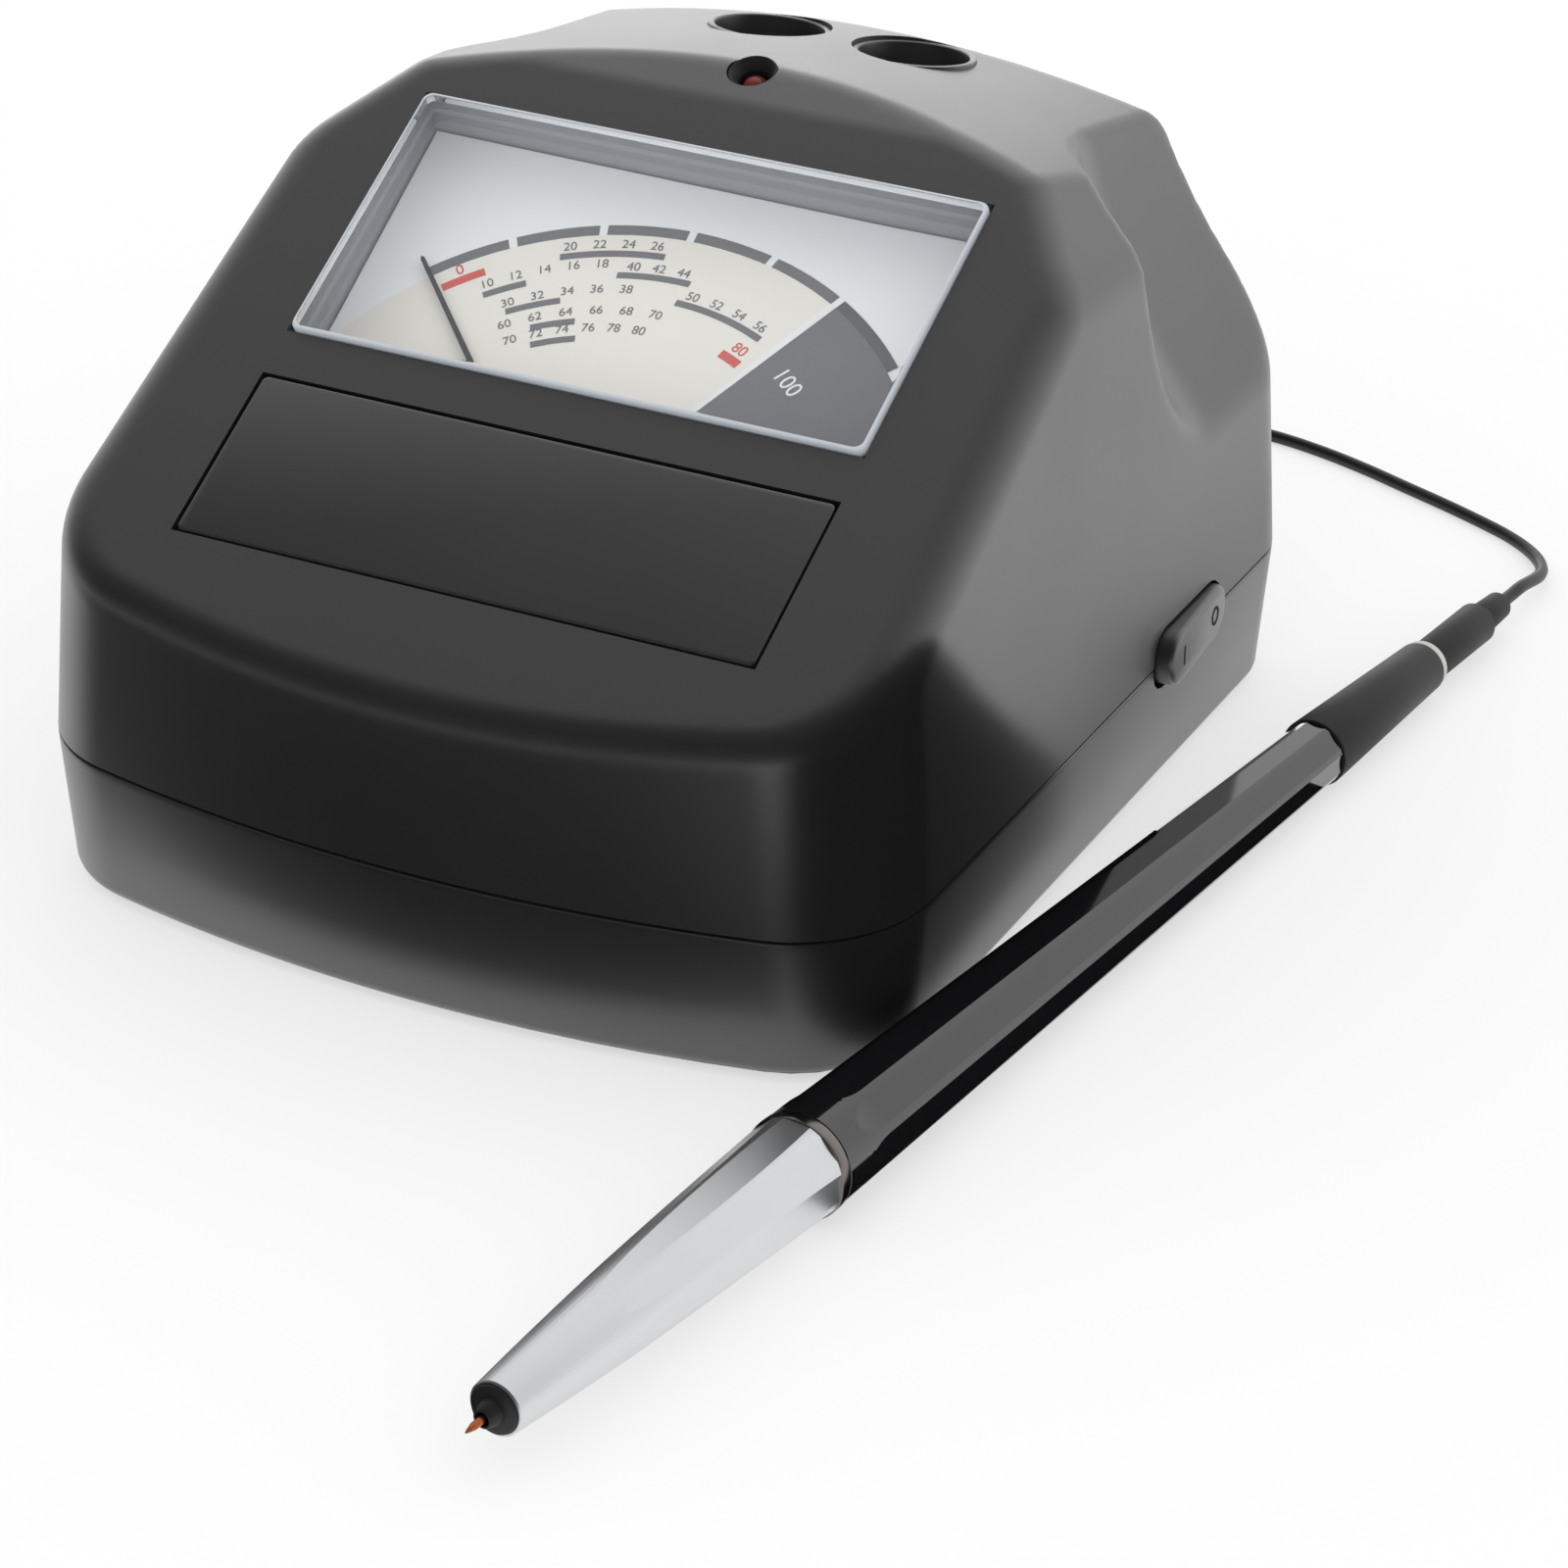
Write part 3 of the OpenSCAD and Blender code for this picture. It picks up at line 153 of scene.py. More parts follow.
# Moulded ABS under a satin lacquer: nearly black face on, and grey at a grazing angle. The lacquer's IOR is
# raised from 1.5 until the side looks as grey as in the photo.
case_abs = grained("lacquered_abs_charcoal", "#0f0f13", "#131317", 0.46, 0.04, 0.35, 0.02, coat=1.0,
                   coat_rough=0.4, coat_ior=1.85)
# Acrylic nameplate, printed black behind a satin face
plate_acrylic = grained("satin_acrylic_black", "#17171a", "#1d1d20", 0.36, 0.04, 0.5, 0.008, ior=1.49,
                        coat=1.0, coat_rough=0.38, coat_ior=1.8)
# Thermoplastic rubber of foot ring, strain relief and band
soft_rubber = grained("moulded_rubber_black", "#131313", "#1b1b1b", 0.72, 0.05, 0.4, 0.03)
# PVC sheath of the lead, drawn smooth
lead_pvc = grained("drawn_pvc_black", "#121213", "#191919", 0.42, 0.06, 0.6, 0.01)
# Polished injection-moulded acrylic of the pen's barrel
barrel_gloss = grained("polished_acrylic_black", "#0d0d0f", "#121215", 0.1, 0.03, 2.0, 0.002, ior=1.49,
                       coat=1.0)
# Matte black ABS of lamp ring, sleeve, tail and tip bush
black_abs = grained("moulded_abs_black", "#141415", "#1b1b1c", 0.55, 0.05, 0.3, 0.02)
# Light grey polystyrene of the meter case
meter_ps = grained("moulded_polystyrene_grey", "#96999f", "#a1a4a9", 0.45, 0.05, 0.6, 0.01)
# Coated card of the dial
dial_stock = grained("coated_card_white", "#f5f7fa", "#eff2f6", 0.5, 0.04, 0.4, 0.004)
# Satin chrome plate over brass
chrome = grained("satin_chrome_plate", "#e4e5e7", "#dadcde", 0.34, 0.05, 0.8, 0.003, metallic=1.0)
# Blackened steel of the pointer, satin
dark_steel = grained("blackened_steel", "#4a4a4e", "#3b3b3f", 0.28, 0.06, 0.5, 0.006, metallic=1.0)
# Polished gunmetal of the ring between nose and barrel
ring_metal = grained("polished_gunmetal", "#86807e", "#77716f", 0.2, 0.04, 0.5, 0.003, metallic=1.0)
# Zinc-plated steel of screws, contacts and shafts
zinc_steel = grained("zinc_plated_steel", "#b4b6ba", "#9fa2a6", 0.34, 0.08, 0.5, 0.01, metallic=1.0)
# Drawn copper of the probe and the coil wire
copper = grained("drawn_copper", "#c5744a", "#a85b36", 0.3, 0.08, 0.4, 0.01, metallic=1.0)
# Rolled brass of the bridge and hairspring
brass = grained("rolled_brass", "#c9a45a", "#b58e45", 0.32, 0.07, 0.5, 0.008, metallic=1.0)
# Sintered iron magnet and core
sintered_iron = grained("sintered_iron", "#4c4b4b", "#3c3b3b", 0.6, 0.08, 0.4, 0.03, metallic=0.7)
# Pale acetal ring and inner mouldings
pale_acetal = grained("moulded_acetal_pale", "#c9c8c2", "#bdbcb6", 0.38, 0.05, 0.5, 0.008)
# Glass-fibre circuit board under green lacquer
green_board = grained("lacquered_board_green", "#1c5a36", "#17492d", 0.36, 0.05, 0.7, 0.01, coat=0.3)
# Lacquered steel can of a cell
cell_can = grained("lacquered_can_gold", "#b08a35", "#9a772b", 0.3, 0.05, 1.0, 0.006, metallic=0.6)
# Polished test disc at the bottom of a well
disc_metal = grained("lapped_steel", "#a9adb2", "#989ca1", 0.22, 0.05, 0.4, 0.006, metallic=1.0)
# Cut and polished edge of the cover, painted pale grey: a painted glow that stands for the light caught
# inside the sheet
painted_glow_edge = grained("painted_glow_acrylic_edge", "#c9ced4", "#b4bac2", 0.24, 0.05, 0.8, 0.004, ior=1.49)
# Printing inks of the dial
ink_grey = grained("screen_ink_grey", "#6a6b70", "#74757a", 0.55, 0.03, 0.3, 0.003)
ink_dark = grained("screen_ink_dark", "#55565b", "#5c5d62", 0.55, 0.03, 0.3, 0.003)
ink_red = grained("screen_ink_red", "#d2504c", "#dc5c57", 0.55, 0.03, 0.3, 0.003)
ink_sand = grained("screen_ink_sand", "#ece8e1", "#f0ede6", 0.55, 0.03, 0.5, 0.003)
ink_white = grained("screen_ink_white", "#f2f3f4", "#eceeef", 0.5, 0.03, 0.5, 0.003)
ink_mark = grained("pad_ink_black", "#0c0c0d", "#121213", 0.8, 0.03, 0.3, 0.003)
print("materials:", len(bpy.data.materials))

# %% [markdown]
# ## Clear pieces
# The cover is cast acrylic and the lamp a tinted epoxy lens. Both let light through, so they are one
# transmissive shader each, with no bump to cloud them.

# %% Acrylic cover and lamp lens
clear_acrylic, tree = start_material("cast_acrylic_clear")
skin = add(tree, "ShaderNodeBsdfPrincipled", {"Base Color": srgb("#fbfcfc"), "Roughness": 0.02, "IOR": 1.49,
                                              "Transmission Weight": 1.0})
end_material(tree, skin)
lamp_lens, tree = start_material("tinted_epoxy_red")
place = add(tree, "ShaderNodeTexCoord")
depth = add(tree, "ShaderNodeTexNoise", {"Scale": 900.0, "Detail": 2.0}, {"Vector": place.outputs["Object"]})
blush = add(tree, "ShaderNodeMixRGB", {"Color1": srgb("#8c4440"), "Color2": srgb("#6b2c2a")}, {"Fac": depth})
skin = add(tree, "ShaderNodeBsdfPrincipled", {"Roughness": 0.12, "IOR": 1.52, "Transmission Weight": 0.25},
           {"Base Color": blush})
end_material(tree, skin)

# %% [markdown]
# ## Making and placing pieces
# Every piece is a list of points and faces in millimetres, in the frame where it is easiest to draw: the
# sloping panel, the pen's own axis, or the case. A matrix then puts the points in place, so the object
# itself stays at the origin.

# %% Mesh helpers
def smooth(mesh, sharp):
    mesh.shade_smooth()
    mesh.set_sharp_from_angle(angle=math.radians(sharp))


def baked(piece):
    return bpy.data.meshes.new_from_object(piece.evaluated_get(bpy.context.evaluated_depsgraph_get()))


def rotated(axis, degrees):
    return Matrix.Rotation(math.radians(degrees), 4, axis)


def shifted(x, y, z):
    return Matrix.Translation((x, y, z))


def new_mesh(name, points, faces, material, place=Matrix.Identity(4), sharp=30):
    mesh = bpy.data.meshes.new(name)
    mesh.from_pydata([tuple(p) for p in np.asarray(points, float)], [], [tuple(f) for f in faces])
    mesh.transform(Matrix.Scale(MM, 4) @ place)
    mesh.materials.append(material)
    mesh.validate()
    tidy = bmesh.new()
    tidy.from_mesh(mesh)
    bmesh.ops.recalc_face_normals(tidy, faces=tidy.faces)
    tidy.to_mesh(mesh)
    tidy.free()
    smooth(mesh, sharp)
    return put(name, mesh)


def settle(piece, body, slot, *stands_for):
    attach(piece, body)
    if stands_for:
        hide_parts(*stands_for)
    return piece


def soften(piece, width_mm):
    bevel = piece.modifiers.new("soft_edges", "BEVEL")
    bevel.width = width_mm * MM
    bevel.segments = 2
    bevel.limit_method = "ANGLE"
    bevel.angle_limit = math.radians(35)
    return piece


def loft(rings, joined=False):
    count, total = len(rings[0]), len(rings)
    faces = []
    for i in range(total if joined else total - 1):
        a, b = i * count, (i + 1) % total * count
        for k in range(count):
            n = (k + 1) % count
            faces.append((a + k, a + n, b + n, b + k))
    if not joined:
        faces.append(tuple(range(count))[::-1])
        faces.append(tuple(range((total - 1) * count, total * count)))
    return np.vstack(rings), faces


def lathe(profile, steps=72):
    """A profile that stays off the axis is a ring, so its bore is drawn too."""
    angles = np.linspace(0, 2 * math.pi, steps, endpoint=False)
    rings = []
    for radius, height in profile:
        circle = [radius * np.cos(angles), radius * np.sin(angles), np.full(steps, height)]
        rings.append(np.column_stack(circle))
    return loft(rings, joined=profile[0][0] > 0.2)


def join(*parts):
    points, faces, base = [], [], 0
    for part_points, part_faces in parts:
        points.append(np.asarray(part_points, float))
        faces += [tuple(i + base for i in f) for f in part_faces]
        base += len(part_points)
    return np.vstack(points), faces


def moved(part, matrix):
    points = np.asarray(part[0], float)
    turned = points @ np.array(matrix.to_3x3()).T + np.array(matrix.translation)
    return turned, part[1]


def box(low, high):
    (a, b, c), (d, e, f) = low, high
    ring = np.array([[a, b], [d, b], [d, e], [a, e]], float)
    return loft([np.column_stack([ring, np.full(4, z)]) for z in (c, f)])


def carve(piece, cutter):
    cut = piece.modifiers.new("carve", "BOOLEAN")
    cut.object = cutter
    cut.operation = "DIFFERENCE"
    cut.solver = "EXACT"
    mesh = baked(piece)
    piece.modifiers.clear()
    piece.data = mesh
    bpy.data.objects.remove(cutter)


# %% [markdown]
# ## The case's plan and edges
# Seen from above the case is a box with a bowed front and round corners. Seen from the side it is a wedge:
# a panel at 28 degrees, a crescent step at 18 degrees and a crown that falls to the back. The same few
# numbers give the outline and the line of each soft upper edge.

# %% Case outline
CASE_W, FRONT, BACK, BASE_H, SEAM, WALL = 99, -57.5, 57.5, 16.8, 0.3, 2.2
BOW, FRONT_CORNER, REAR_CORNER, EDGE, LEAN = 169, 15, 10, 4.5, 3.6
SLOPE, CRESCENT, FALL, CROWN, BACK_LEAN, KNEE = 28, 18, 10.8, 136, 12.8, 36
FRONT_H, PANEL_IN, PANEL_LEN, CROWN_IN, CROWN_UP = 34.8, 12.9, 67, 6, 1.9
TOP_Z, EDGE_Z, FOOT_Z, TOP_CORNER, CORNER_IN, FRONT_IN = 66, 40, 15.7, 12, 14, 0.8


def tan(degrees):
    return math.tan(math.radians(degrees))


def cos(degrees):
    return math.cos(math.radians(degrees))


def sin(degrees):
    return math.sin(math.radians(degrees))


PANEL_Y, PANEL_Z = FRONT + PANEL_IN, FRONT_H + PANEL_IN * tan(SLOPE)
CREASE_Y, CREASE_Z = PANEL_Y + PANEL_LEN * cos(SLOPE), PANEL_Z + PANEL_LEN * sin(SLOPE)
CROWN_Y, CROWN_H = CREASE_Y + CROWN_IN, CREASE_Z + CROWN_UP


def half_width(z):
    return CASE_W / 2 - (z - BASE_H) * tan(LEAN)


def arc(centre, radius, start, end, steps):
    angles = np.radians(np.linspace(start, end, steps + 1))
    return np.column_stack([centre[0] + radius * np.cos(angles), centre[1] + radius * np.sin(angles)])


def front_right(half, front, inset, steps):
    reach = half - FRONT_CORNER
    turn = math.degrees(math.asin(reach / (BOW - FRONT_CORNER)))
    centre = (reach, front + BOW - math.sqrt((BOW - FRONT_CORNER) ** 2 - reach ** 2))
    bow = arc((0, front + BOW), BOW - inset, -90, -90 + turn, steps)
    return np.vstack([bow, arc(centre, FRONT_CORNER - inset, -90 + turn, 0, steps)[1:]])


def rear_right(half, inset, steps):
    return arc((half - REAR_CORNER, BACK - REAR_CORNER), REAR_CORNER - inset, 0, 90, steps)


def plan(half, front, inset, steps=20):
    right = np.vstack([front_right(half, front, inset, steps), rear_right(half, inset, steps)])
    left = (right * (-1, 1))[::-1]
    return np.vstack([right, left[left[:, 0] < -0.01]])


def at_height(points, z):
    return np.column_stack([points, np.full(len(points), z)])


def panel_height(y):
    return PANEL_Z + (y - PANEL_Y) * tan(SLOPE)


def crown_height(x, y):
    return CROWN_H - (y - CROWN_Y) * tan(FALL) - x * x / (2 * CROWN)


def crown_drop(x):
    return EDGE * np.sqrt(1 + tan(FALL) ** 2 + (x / CROWN) ** 2)


def meet(x, at_zero, slope):
    rise = crown_height(x, 0) - crown_drop(x) - at_zero + EDGE / cos(slope)
    return rise / (tan(slope) + tan(FALL))


def edge_line():
    top_half = half_width(TOP_Z)
    front = front_right(half_width(EDGE_Z), FRONT + FRONT_IN, EDGE, 20)
    corner = arc((top_half - TOP_CORNER, CREASE_Y - CORNER_IN), TOP_CORNER - EDGE, 0, 60, 10)
    flat = np.vstack([front, corner])
    panel = np.column_stack([flat, panel_height(flat[:, 1]) - EDGE / cos(SLOPE)])
    x = np.linspace(0, top_half - TOP_CORNER, 25)
    y = np.maximum(meet(x, panel_height(0), SLOPE), meet(x, CREASE_Z - CREASE_Y * tan(CRESCENT), CRESCENT))
    arch = np.column_stack([x, y, crown_height(x, y) - crown_drop(x)])
    x = np.linspace(0, top_half - EDGE, 17)
    reach = BACK + KNEE * tan(BACK_LEAN) - EDGE / cos(BACK_LEAN)
    z = (crown_height(x, 0) - crown_drop(x) - tan(FALL) * reach) / (1 - tan(FALL) * tan(BACK_LEAN))
    rear = np.column_stack([x, reach - z * tan(BACK_LEAN), z])
    knee = at_height(rear_right(half_width(KNEE), EDGE, 12), KNEE)
    right = np.vstack([panel, arch, rear, knee])
    foot = at_height(plan(half_width(FOOT_Z), FRONT, EDGE), FOOT_Z)
    return np.vstack([right, right * (-1, 1, 1), foot])


core_points = edge_line()
print("edge line:", len(core_points), "points, highest", round(core_points[:, 2].max() + EDGE, 2), "mm")

# %% [markdown]
# ## The upper shell
# The real shell is one moulding with a soft radius on every edge and a scoop in each shoulder. Booleans and
# bevels would leave pinched corners where the scoop runs out, so the shape is written as a distance: how
# far a point lies from the convex core of the edge line, less the edge radius, with the two scoops taken
# out under a small rounding. A net laid where that distance is zero is the skin, and a second net one wall
# deeper is the inside.

# %% Distance to the case
core = bmesh.new()
for p in core_points:
    core.verts.new(p)
bmesh.ops.convex_hull(core, input=core.verts)
bmesh.ops.delete(core, geom=[v for v in core.verts if not v.link_faces], context="VERTS")
bmesh.ops.triangulate(core, faces=core.faces)
core.normal_update()
core_tree = BVHTree.FromBMesh(core)
middle = core_points.mean(axis=0)
sides = np.array([f.normal for f in core.faces])
levels = np.einsum("ij,ij->i", sides, np.array([f.verts[0].co for f in core.faces]))
if (sides @ middle - levels).max() > 0:
    sides, levels = -sides, -levels
core.free()
SCOOP_R, SCOOP_X, SCOOP_Z, SCOOP_END, SCOOP_FRONT, CREASE_R = 71, 102, 84, 18, 16.5, 0.9
BATCH = 100000


def case_distance(points):
    deep = np.empty(len(points))
    for start in range(0, len(points), BATCH):
        batch = slice(start, start + BATCH)
        deep[batch] = (points[batch] @ sides.T - levels).max(axis=1)
    for i in np.nonzero((deep > 0.2) & (deep < EDGE + 2))[0]:
        deep[i] = core_tree.find_nearest(points[i])[3]
    body = deep - EDGE
    across = np.hypot(np.abs(points[:, 0]) - SCOOP_X, points[:, 2] - SCOOP_Z) - (SCOOP_R - SCOOP_END)
    along = SCOOP_FRONT + SCOOP_END - points[:, 1]
    outside = np.hypot(np.maximum(across, 0), np.maximum(along, 0))
    scoop = SCOOP_END - outside - np.minimum(np.maximum(across, along), 0)
    a, b = body + CREASE_R, scoop + CREASE_R
    return np.hypot(np.maximum(a, 0), np.maximum(b, 0)) + np.minimum(np.maximum(a, b), 0) - CREASE_R


def surface_net(values, origin, step):
    shape = np.array(values.shape) - 1
    total, count = np.zeros((*shape, 3)), np.zeros(shape)

    def corner(o):
        return values[o[0]:o[0] + shape[0], o[1]:o[1] + shape[1], o[2]:o[2] + shape[2]]

    for axis in range(3):
        for u in (0, 1):
            for v in (0, 1):
                low = [0, 0, 0]
                low[(axis + 1) % 3], low[(axis + 2) % 3] = u, v
                high = list(low)
                high[axis] = 1
                a, b = corner(low), corner(high)
                cross = (a < 0) != (b < 0)
                share = np.where(cross, a / np.where(cross, a - b, 1), 0)
                for c in range(3):
                    total[..., c] += np.where(cross, share if c == axis else low[c], 0)
                count += cross
    used = count > 0
    index = np.full(shape, -1)
    index[used] = np.arange(used.sum())
    points = origin + step * (np.argwhere(used) + total[used] / count[used][:, None])
    quads = []
    inside = (values < 0).astype(np.int8)
    for axis in range(3):
        b, c = (axis + 1) % 3, (axis + 2) % 3
        change = np.diff(inside, axis=axis)
        p = np.argwhere(change != 0)
        for side in (b, c):
            p = p[(p[:, side] > 0) & (p[:, side] < values.shape[side] - 1)]
        eb, ec = np.eye(3, dtype=int)[b], np.eye(3, dtype=int)[c]
        quad = np.stack([index[tuple((p - eb - ec).T)], index[tuple((p - ec).T)],
                         index[tuple(p.T)], index[tuple((p - eb).T)]], axis=1)
        outward = change[tuple(p.T)] < 0
        quad[~outward] = quad[~outward][:, ::-1]
        quads.append(quad)
    return points, np.vstack(quads)


def laid_on_case(points, quads):
    """Evens the net out and lays it on the true surface, so that creases run smoothly."""
    ends = np.vstack([quads[:, [k, (k + 1) % 4]] for k in range(4)])
    ends = np.vstack([ends, ends[:, ::-1]])
    for _ in range(3):
        total, count = np.zeros_like(points), np.zeros(len(points))
        np.add.at(total, ends[:, 0], points[ends[:, 1]])
        np.add.at(count, ends[:, 0], 1)
        points = (points + total / count[:, None]) / 2
        depth = case_distance(points)
        slope = np.stack([case_distance(points + probe) - depth for probe in 0.05 * np.eye(3)], axis=1)
        slope /= np.linalg.norm(slope, axis=1)[:, None]
        points = points - depth[:, None] * slope
    return points


STEP = 0.85
axis_x = np.arange(0, CASE_W / 2 + 3, STEP)
axis_y = np.arange(FRONT - 2, BACK + 3, STEP)
axis_z = np.arange(BASE_H - 2, CROWN_H + 3, STEP)
grid = np.stack(np.meshgrid(axis_x, axis_y, axis_z, indexing="ij"), axis=-1)
half_field = case_distance(grid.reshape(-1, 3)).reshape(grid.shape[:3])
field = np.concatenate([half_field[:0:-1], half_field])
origin = np.array([-axis_x[-1], axis_y[0], axis_z[0]])
skin_points, skin_quads = surface_net(field, origin, STEP)
skin_points = laid_on_case(skin_points, skin_quads)
inner_points, inner_quads = surface_net(field + WALL, origin, STEP)
print("shell nets:", len(skin_quads), "outer and", len(inner_quads), "inner quads")

# %% [markdown]
# The two nets run a little below the parting line. They are cut off there with a plane, and the ring
# between them is filled, so the shell is one closed skin with its true wall.

# %% Close the shell at the parting line
both_nets = join((skin_points, skin_quads), (inner_points, inner_quads[:, ::-1]))
upper_shell = new_mesh("upper_shell_skin", *both_nets, case_abs, sharp=40)
work = bmesh.new()
work.from_mesh(upper_shell.data)
geometry = work.verts[:] + work.edges[:] + work.faces[:]
parting = (BASE_H + SEAM / 2) * MM
bmesh.ops.bisect_plane(work, geom=geometry, plane_co=(0, 0, parting), plane_no=(0, 0, -1), clear_outer=True)
rim = [e for e in work.edges if e.is_boundary]
bmesh.ops.triangle_fill(work, edges=rim, use_beauty=True)
bmesh.ops.recalc_face_normals(work, faces=work.faces)
work.to_mesh(upper_shell.data)
work.free()
upper_shell.data.shade_smooth()
print("upper shell:", len(upper_shell.data.polygons), "faces")

# %% [markdown]
# ## Openings of the upper shell
# The cover's window, the recess of the nameplate, the lamp's hole, the two wells and the switch's slot all
# have crisp edges, which a net can't hold. They are cut afterwards with one boolean.

# %% Frames on the case, and the cut-outs
def frame_at(x, y, z, tilt):
    return shifted(x, y, z) @ rotated("X", tilt)


on_panel = frame_at(0, PANEL_Y, PANEL_Z, SLOPE)
LAMP_Y = CREASE_Y + 5.2 * cos(CRESCENT)
on_crescent = frame_at(0, LAMP_Y, CREASE_Z + (LAMP_Y - CREASE_Y) * tan(CRESCENT), CRESCENT)
WELL_X, WELL_Y = 8.7, BACK - 16.6
on_wells = [frame_at(s * WELL_X, WELL_Y, crown_height(WELL_X, WELL_Y), -FALL) for s in (-1, 1)]
ROCKER_X, ROCKER_Y = CASE_W / 2 - 4.6, BACK - 31.6
faces_right = Matrix(((0, 0, 1, 0), (1, 0, 0, 0), (0, 1, 0, 0), (0, 0, 0, 1)))
on_rocker = shifted(ROCKER_X, ROCKER_Y, BASE_H) @ faces_right
LEAD_X, LEAD_Z, LEAD_R = -18, 9, 0.75
on_relief = frame_at(LEAD_X, BACK, LEAD_Z, -90)
# Half width, lower edge and upper edge on the panel
WINDOW, PLATE = (33, 26.8, 60), (32.85, 0.15, 20.55)
ROCKER_LEN, ROCKER_WIDE, ROCKER_GAP = 17.6, 6.2, 0.5
LAMP_R, WELL_R, ROUND_GAP = 2.7, 6.8, 0.05


def stadium(length, height, steps=16):
    reach, r = length / 2 - height / 2, height / 2
    return np.vstack([arc((reach, 0), r, -90, 90, steps), arc((-reach, 0), r, 90, 270, steps)])


def prism(outline, low, high):
    return loft([at_height(outline, low), at_height(outline, high)])


def round_cut(radius, low, high):
    return prism(arc((0, 0), radius, 0, 360 - 7.5, 47), low, high)


def panel_cut(opening, gap, depth):
    half, low, high = opening
    return moved(box((-half - gap, low - gap, -depth), (half + gap, high + gap, 4)), on_panel)


slot_line = stadium(ROCKER_LEN + 2 * ROCKER_GAP, ROCKER_WIDE + 2 * ROCKER_GAP)
slot_cut = moved(prism(slot_line, 1, 9), on_rocker)
cutter = new_mesh("cutter", *join(
    panel_cut(WINDOW, 0.25, 6), panel_cut(PLATE, 0.35, 1.25),
    moved(round_cut(LAMP_R + ROUND_GAP, -9, 5), on_crescent),
    *[moved(round_cut(WELL_R + ROUND_GAP, -8, 6), m) for m in on_wells],
    slot_cut), case_abs)
carve(upper_shell, cutter)
smooth(upper_shell.data, 34)
settle(upper_shell, "console", "case", "upper_shell")
print("upper shell with openings:", len(upper_shell.data.polygons), "faces")

# %% [markdown]
# ## The base
# The base is a tray with a little draft and a rounded foot. It is lofted from the plan outline drawn in by
# different amounts, up the outside and down the inside, so its edge at the parting line can be rounded.

# %% Base tray
profile = [(0.6, 9.0), (0.6, 3.1), (0.64, 2.7), (0.78, 2.2), (1.1, 1.7), (1.55, 1.4), (2.1, 1.2), (9.0, 0.63),
           (15.8, 0.06), (16.4, 0.03), (16.57, 0.05), (16.63, 0.09), (16.65, 0.16), (16.65, 2.2), (9, 2.83),
           (2.8, 3.4), (2.8, 9.0)]
points, faces = loft([at_height(plan(CASE_W / 2, FRONT, inset), z) for z, inset in profile])
base = new_mesh("base_tray", points, faces, case_abs)
CELL_PITCH, CELL_LEN, SPRING_ROOM, DOOR_EDGE, SCREW_HOLE, RELIEF_R = 14.6, 50.5, 5.5, 2.25, 2.8, 3
BAY_W, BAY_L = 4 * CELL_PITCH + 0.6, CELL_LEN + SPRING_ROOM
DOOR_Y = -BAY_L / 2 - 1.4 - 3.2
POSTS = [(s * 41, y) for y in (FRONT + 21.5, BACK - 15.5) for s in (-1, 1)]
cutter = new_mesh("cutter", *join(
    box((-BAY_W / 2 - DOOR_EDGE, DOOR_Y - 5.25, -1), (BAY_W / 2 + DOOR_EDGE, BAY_L / 2 + DOOR_EDGE, 4)),
    *[moved(round_cut(SCREW_HOLE, -1, 4), shifted(x, y, 0)) for x, y in POSTS],
    slot_cut,
    moved(round_cut(RELIEF_R + ROUND_GAP, -8, 4), on_relief)), case_abs)
carve(base, cutter)
smooth(base.data, 34)
settle(base, "console", "case", "base_shell")
print("base:", len(base.data.polygons), "faces")

# %% [markdown]
# ## Nameplate and clear cover
# The nameplate is a thin satin plate set flush in its recess, left blank. The cover is one piece of clear
# acrylic with a lip under the panel. Light that is caught inside the sheet leaves at its polished edge, so
# the rim glows. A shader that traced all of that would take long, so that glow is painted: the rim is a thin
# strip painted pale grey. The sheet itself casts no shade, because clear acrylic takes almost no light from
# the dial under it.

# %% Nameplate and cover
def rounded_box(x, low, high, r, steps=5):
    return np.vstack([arc((x - r, low + r), r, -90, 0, steps), arc((x - r, high - r), r, 0, 90, steps),
                      arc((r - x, high - r), r, 90, 180, steps), arc((r - x, low + r), r, 180, 270, steps)])


def panel_rings(opening, corner, *steps):
    half, low, high = opening
    return [at_height(rounded_box(half + g, low - g, high + g, corner), z) for z, g in steps]


rings = panel_rings(PLATE, 0.6, (-1.2, 0), (-0.25, 0), (-0.1, -0.05), (-0.03, -0.12), (0, -0.25))
nameplate = new_mesh("blank_nameplate", *loft(rings), plate_acrylic, on_panel, sharp=50)
settle(nameplate, "console", "panel_plate", "nameplate")
rings = panel_rings(WINDOW, 1.0, (-3.5, 2), (-2.35, 2), (-2.35, 0), (0.2, 0), (0.42, -0.07), (0.55, -0.22),
                    (0.6, -0.45))
cover = new_mesh("clear_cover", *loft(rings), clear_acrylic, on_panel, sharp=40)
cover.visible_shadow = False
cover.visible_diffuse = False
settle(cover, "console", "window", "meter_window")
# The rim strip is pale grey: a painted glow for the light leaving the polished edge.
rings = panel_rings(WINDOW, 1.0, (-0.6, 0.02), (0.3, 0.02), (0.5, -0.08), (0.6, -0.2), (0.62, -0.35),
                    (0.5, -0.35), (-0.6, -0.1))
cover_rim_painted_glow = new_mesh("cover_rim_painted_glow", *loft(rings, joined=True), painted_glow_edge, on_panel, sharp=40)
settle(cover_rim_painted_glow, "console", "window")
print("nameplate and cover set in the panel")

# %% [markdown]
# ## The dial's printing, made by a rule
# The scale is five equal bars and a longer end bar on one arc, from 45 degrees left of upright to 45 degrees
# right. A node tree draws one bar as a curved strip and repeats it round the pivot. The same tree with a
# count of one makes the end bar and the shorter bars of the inner rows.

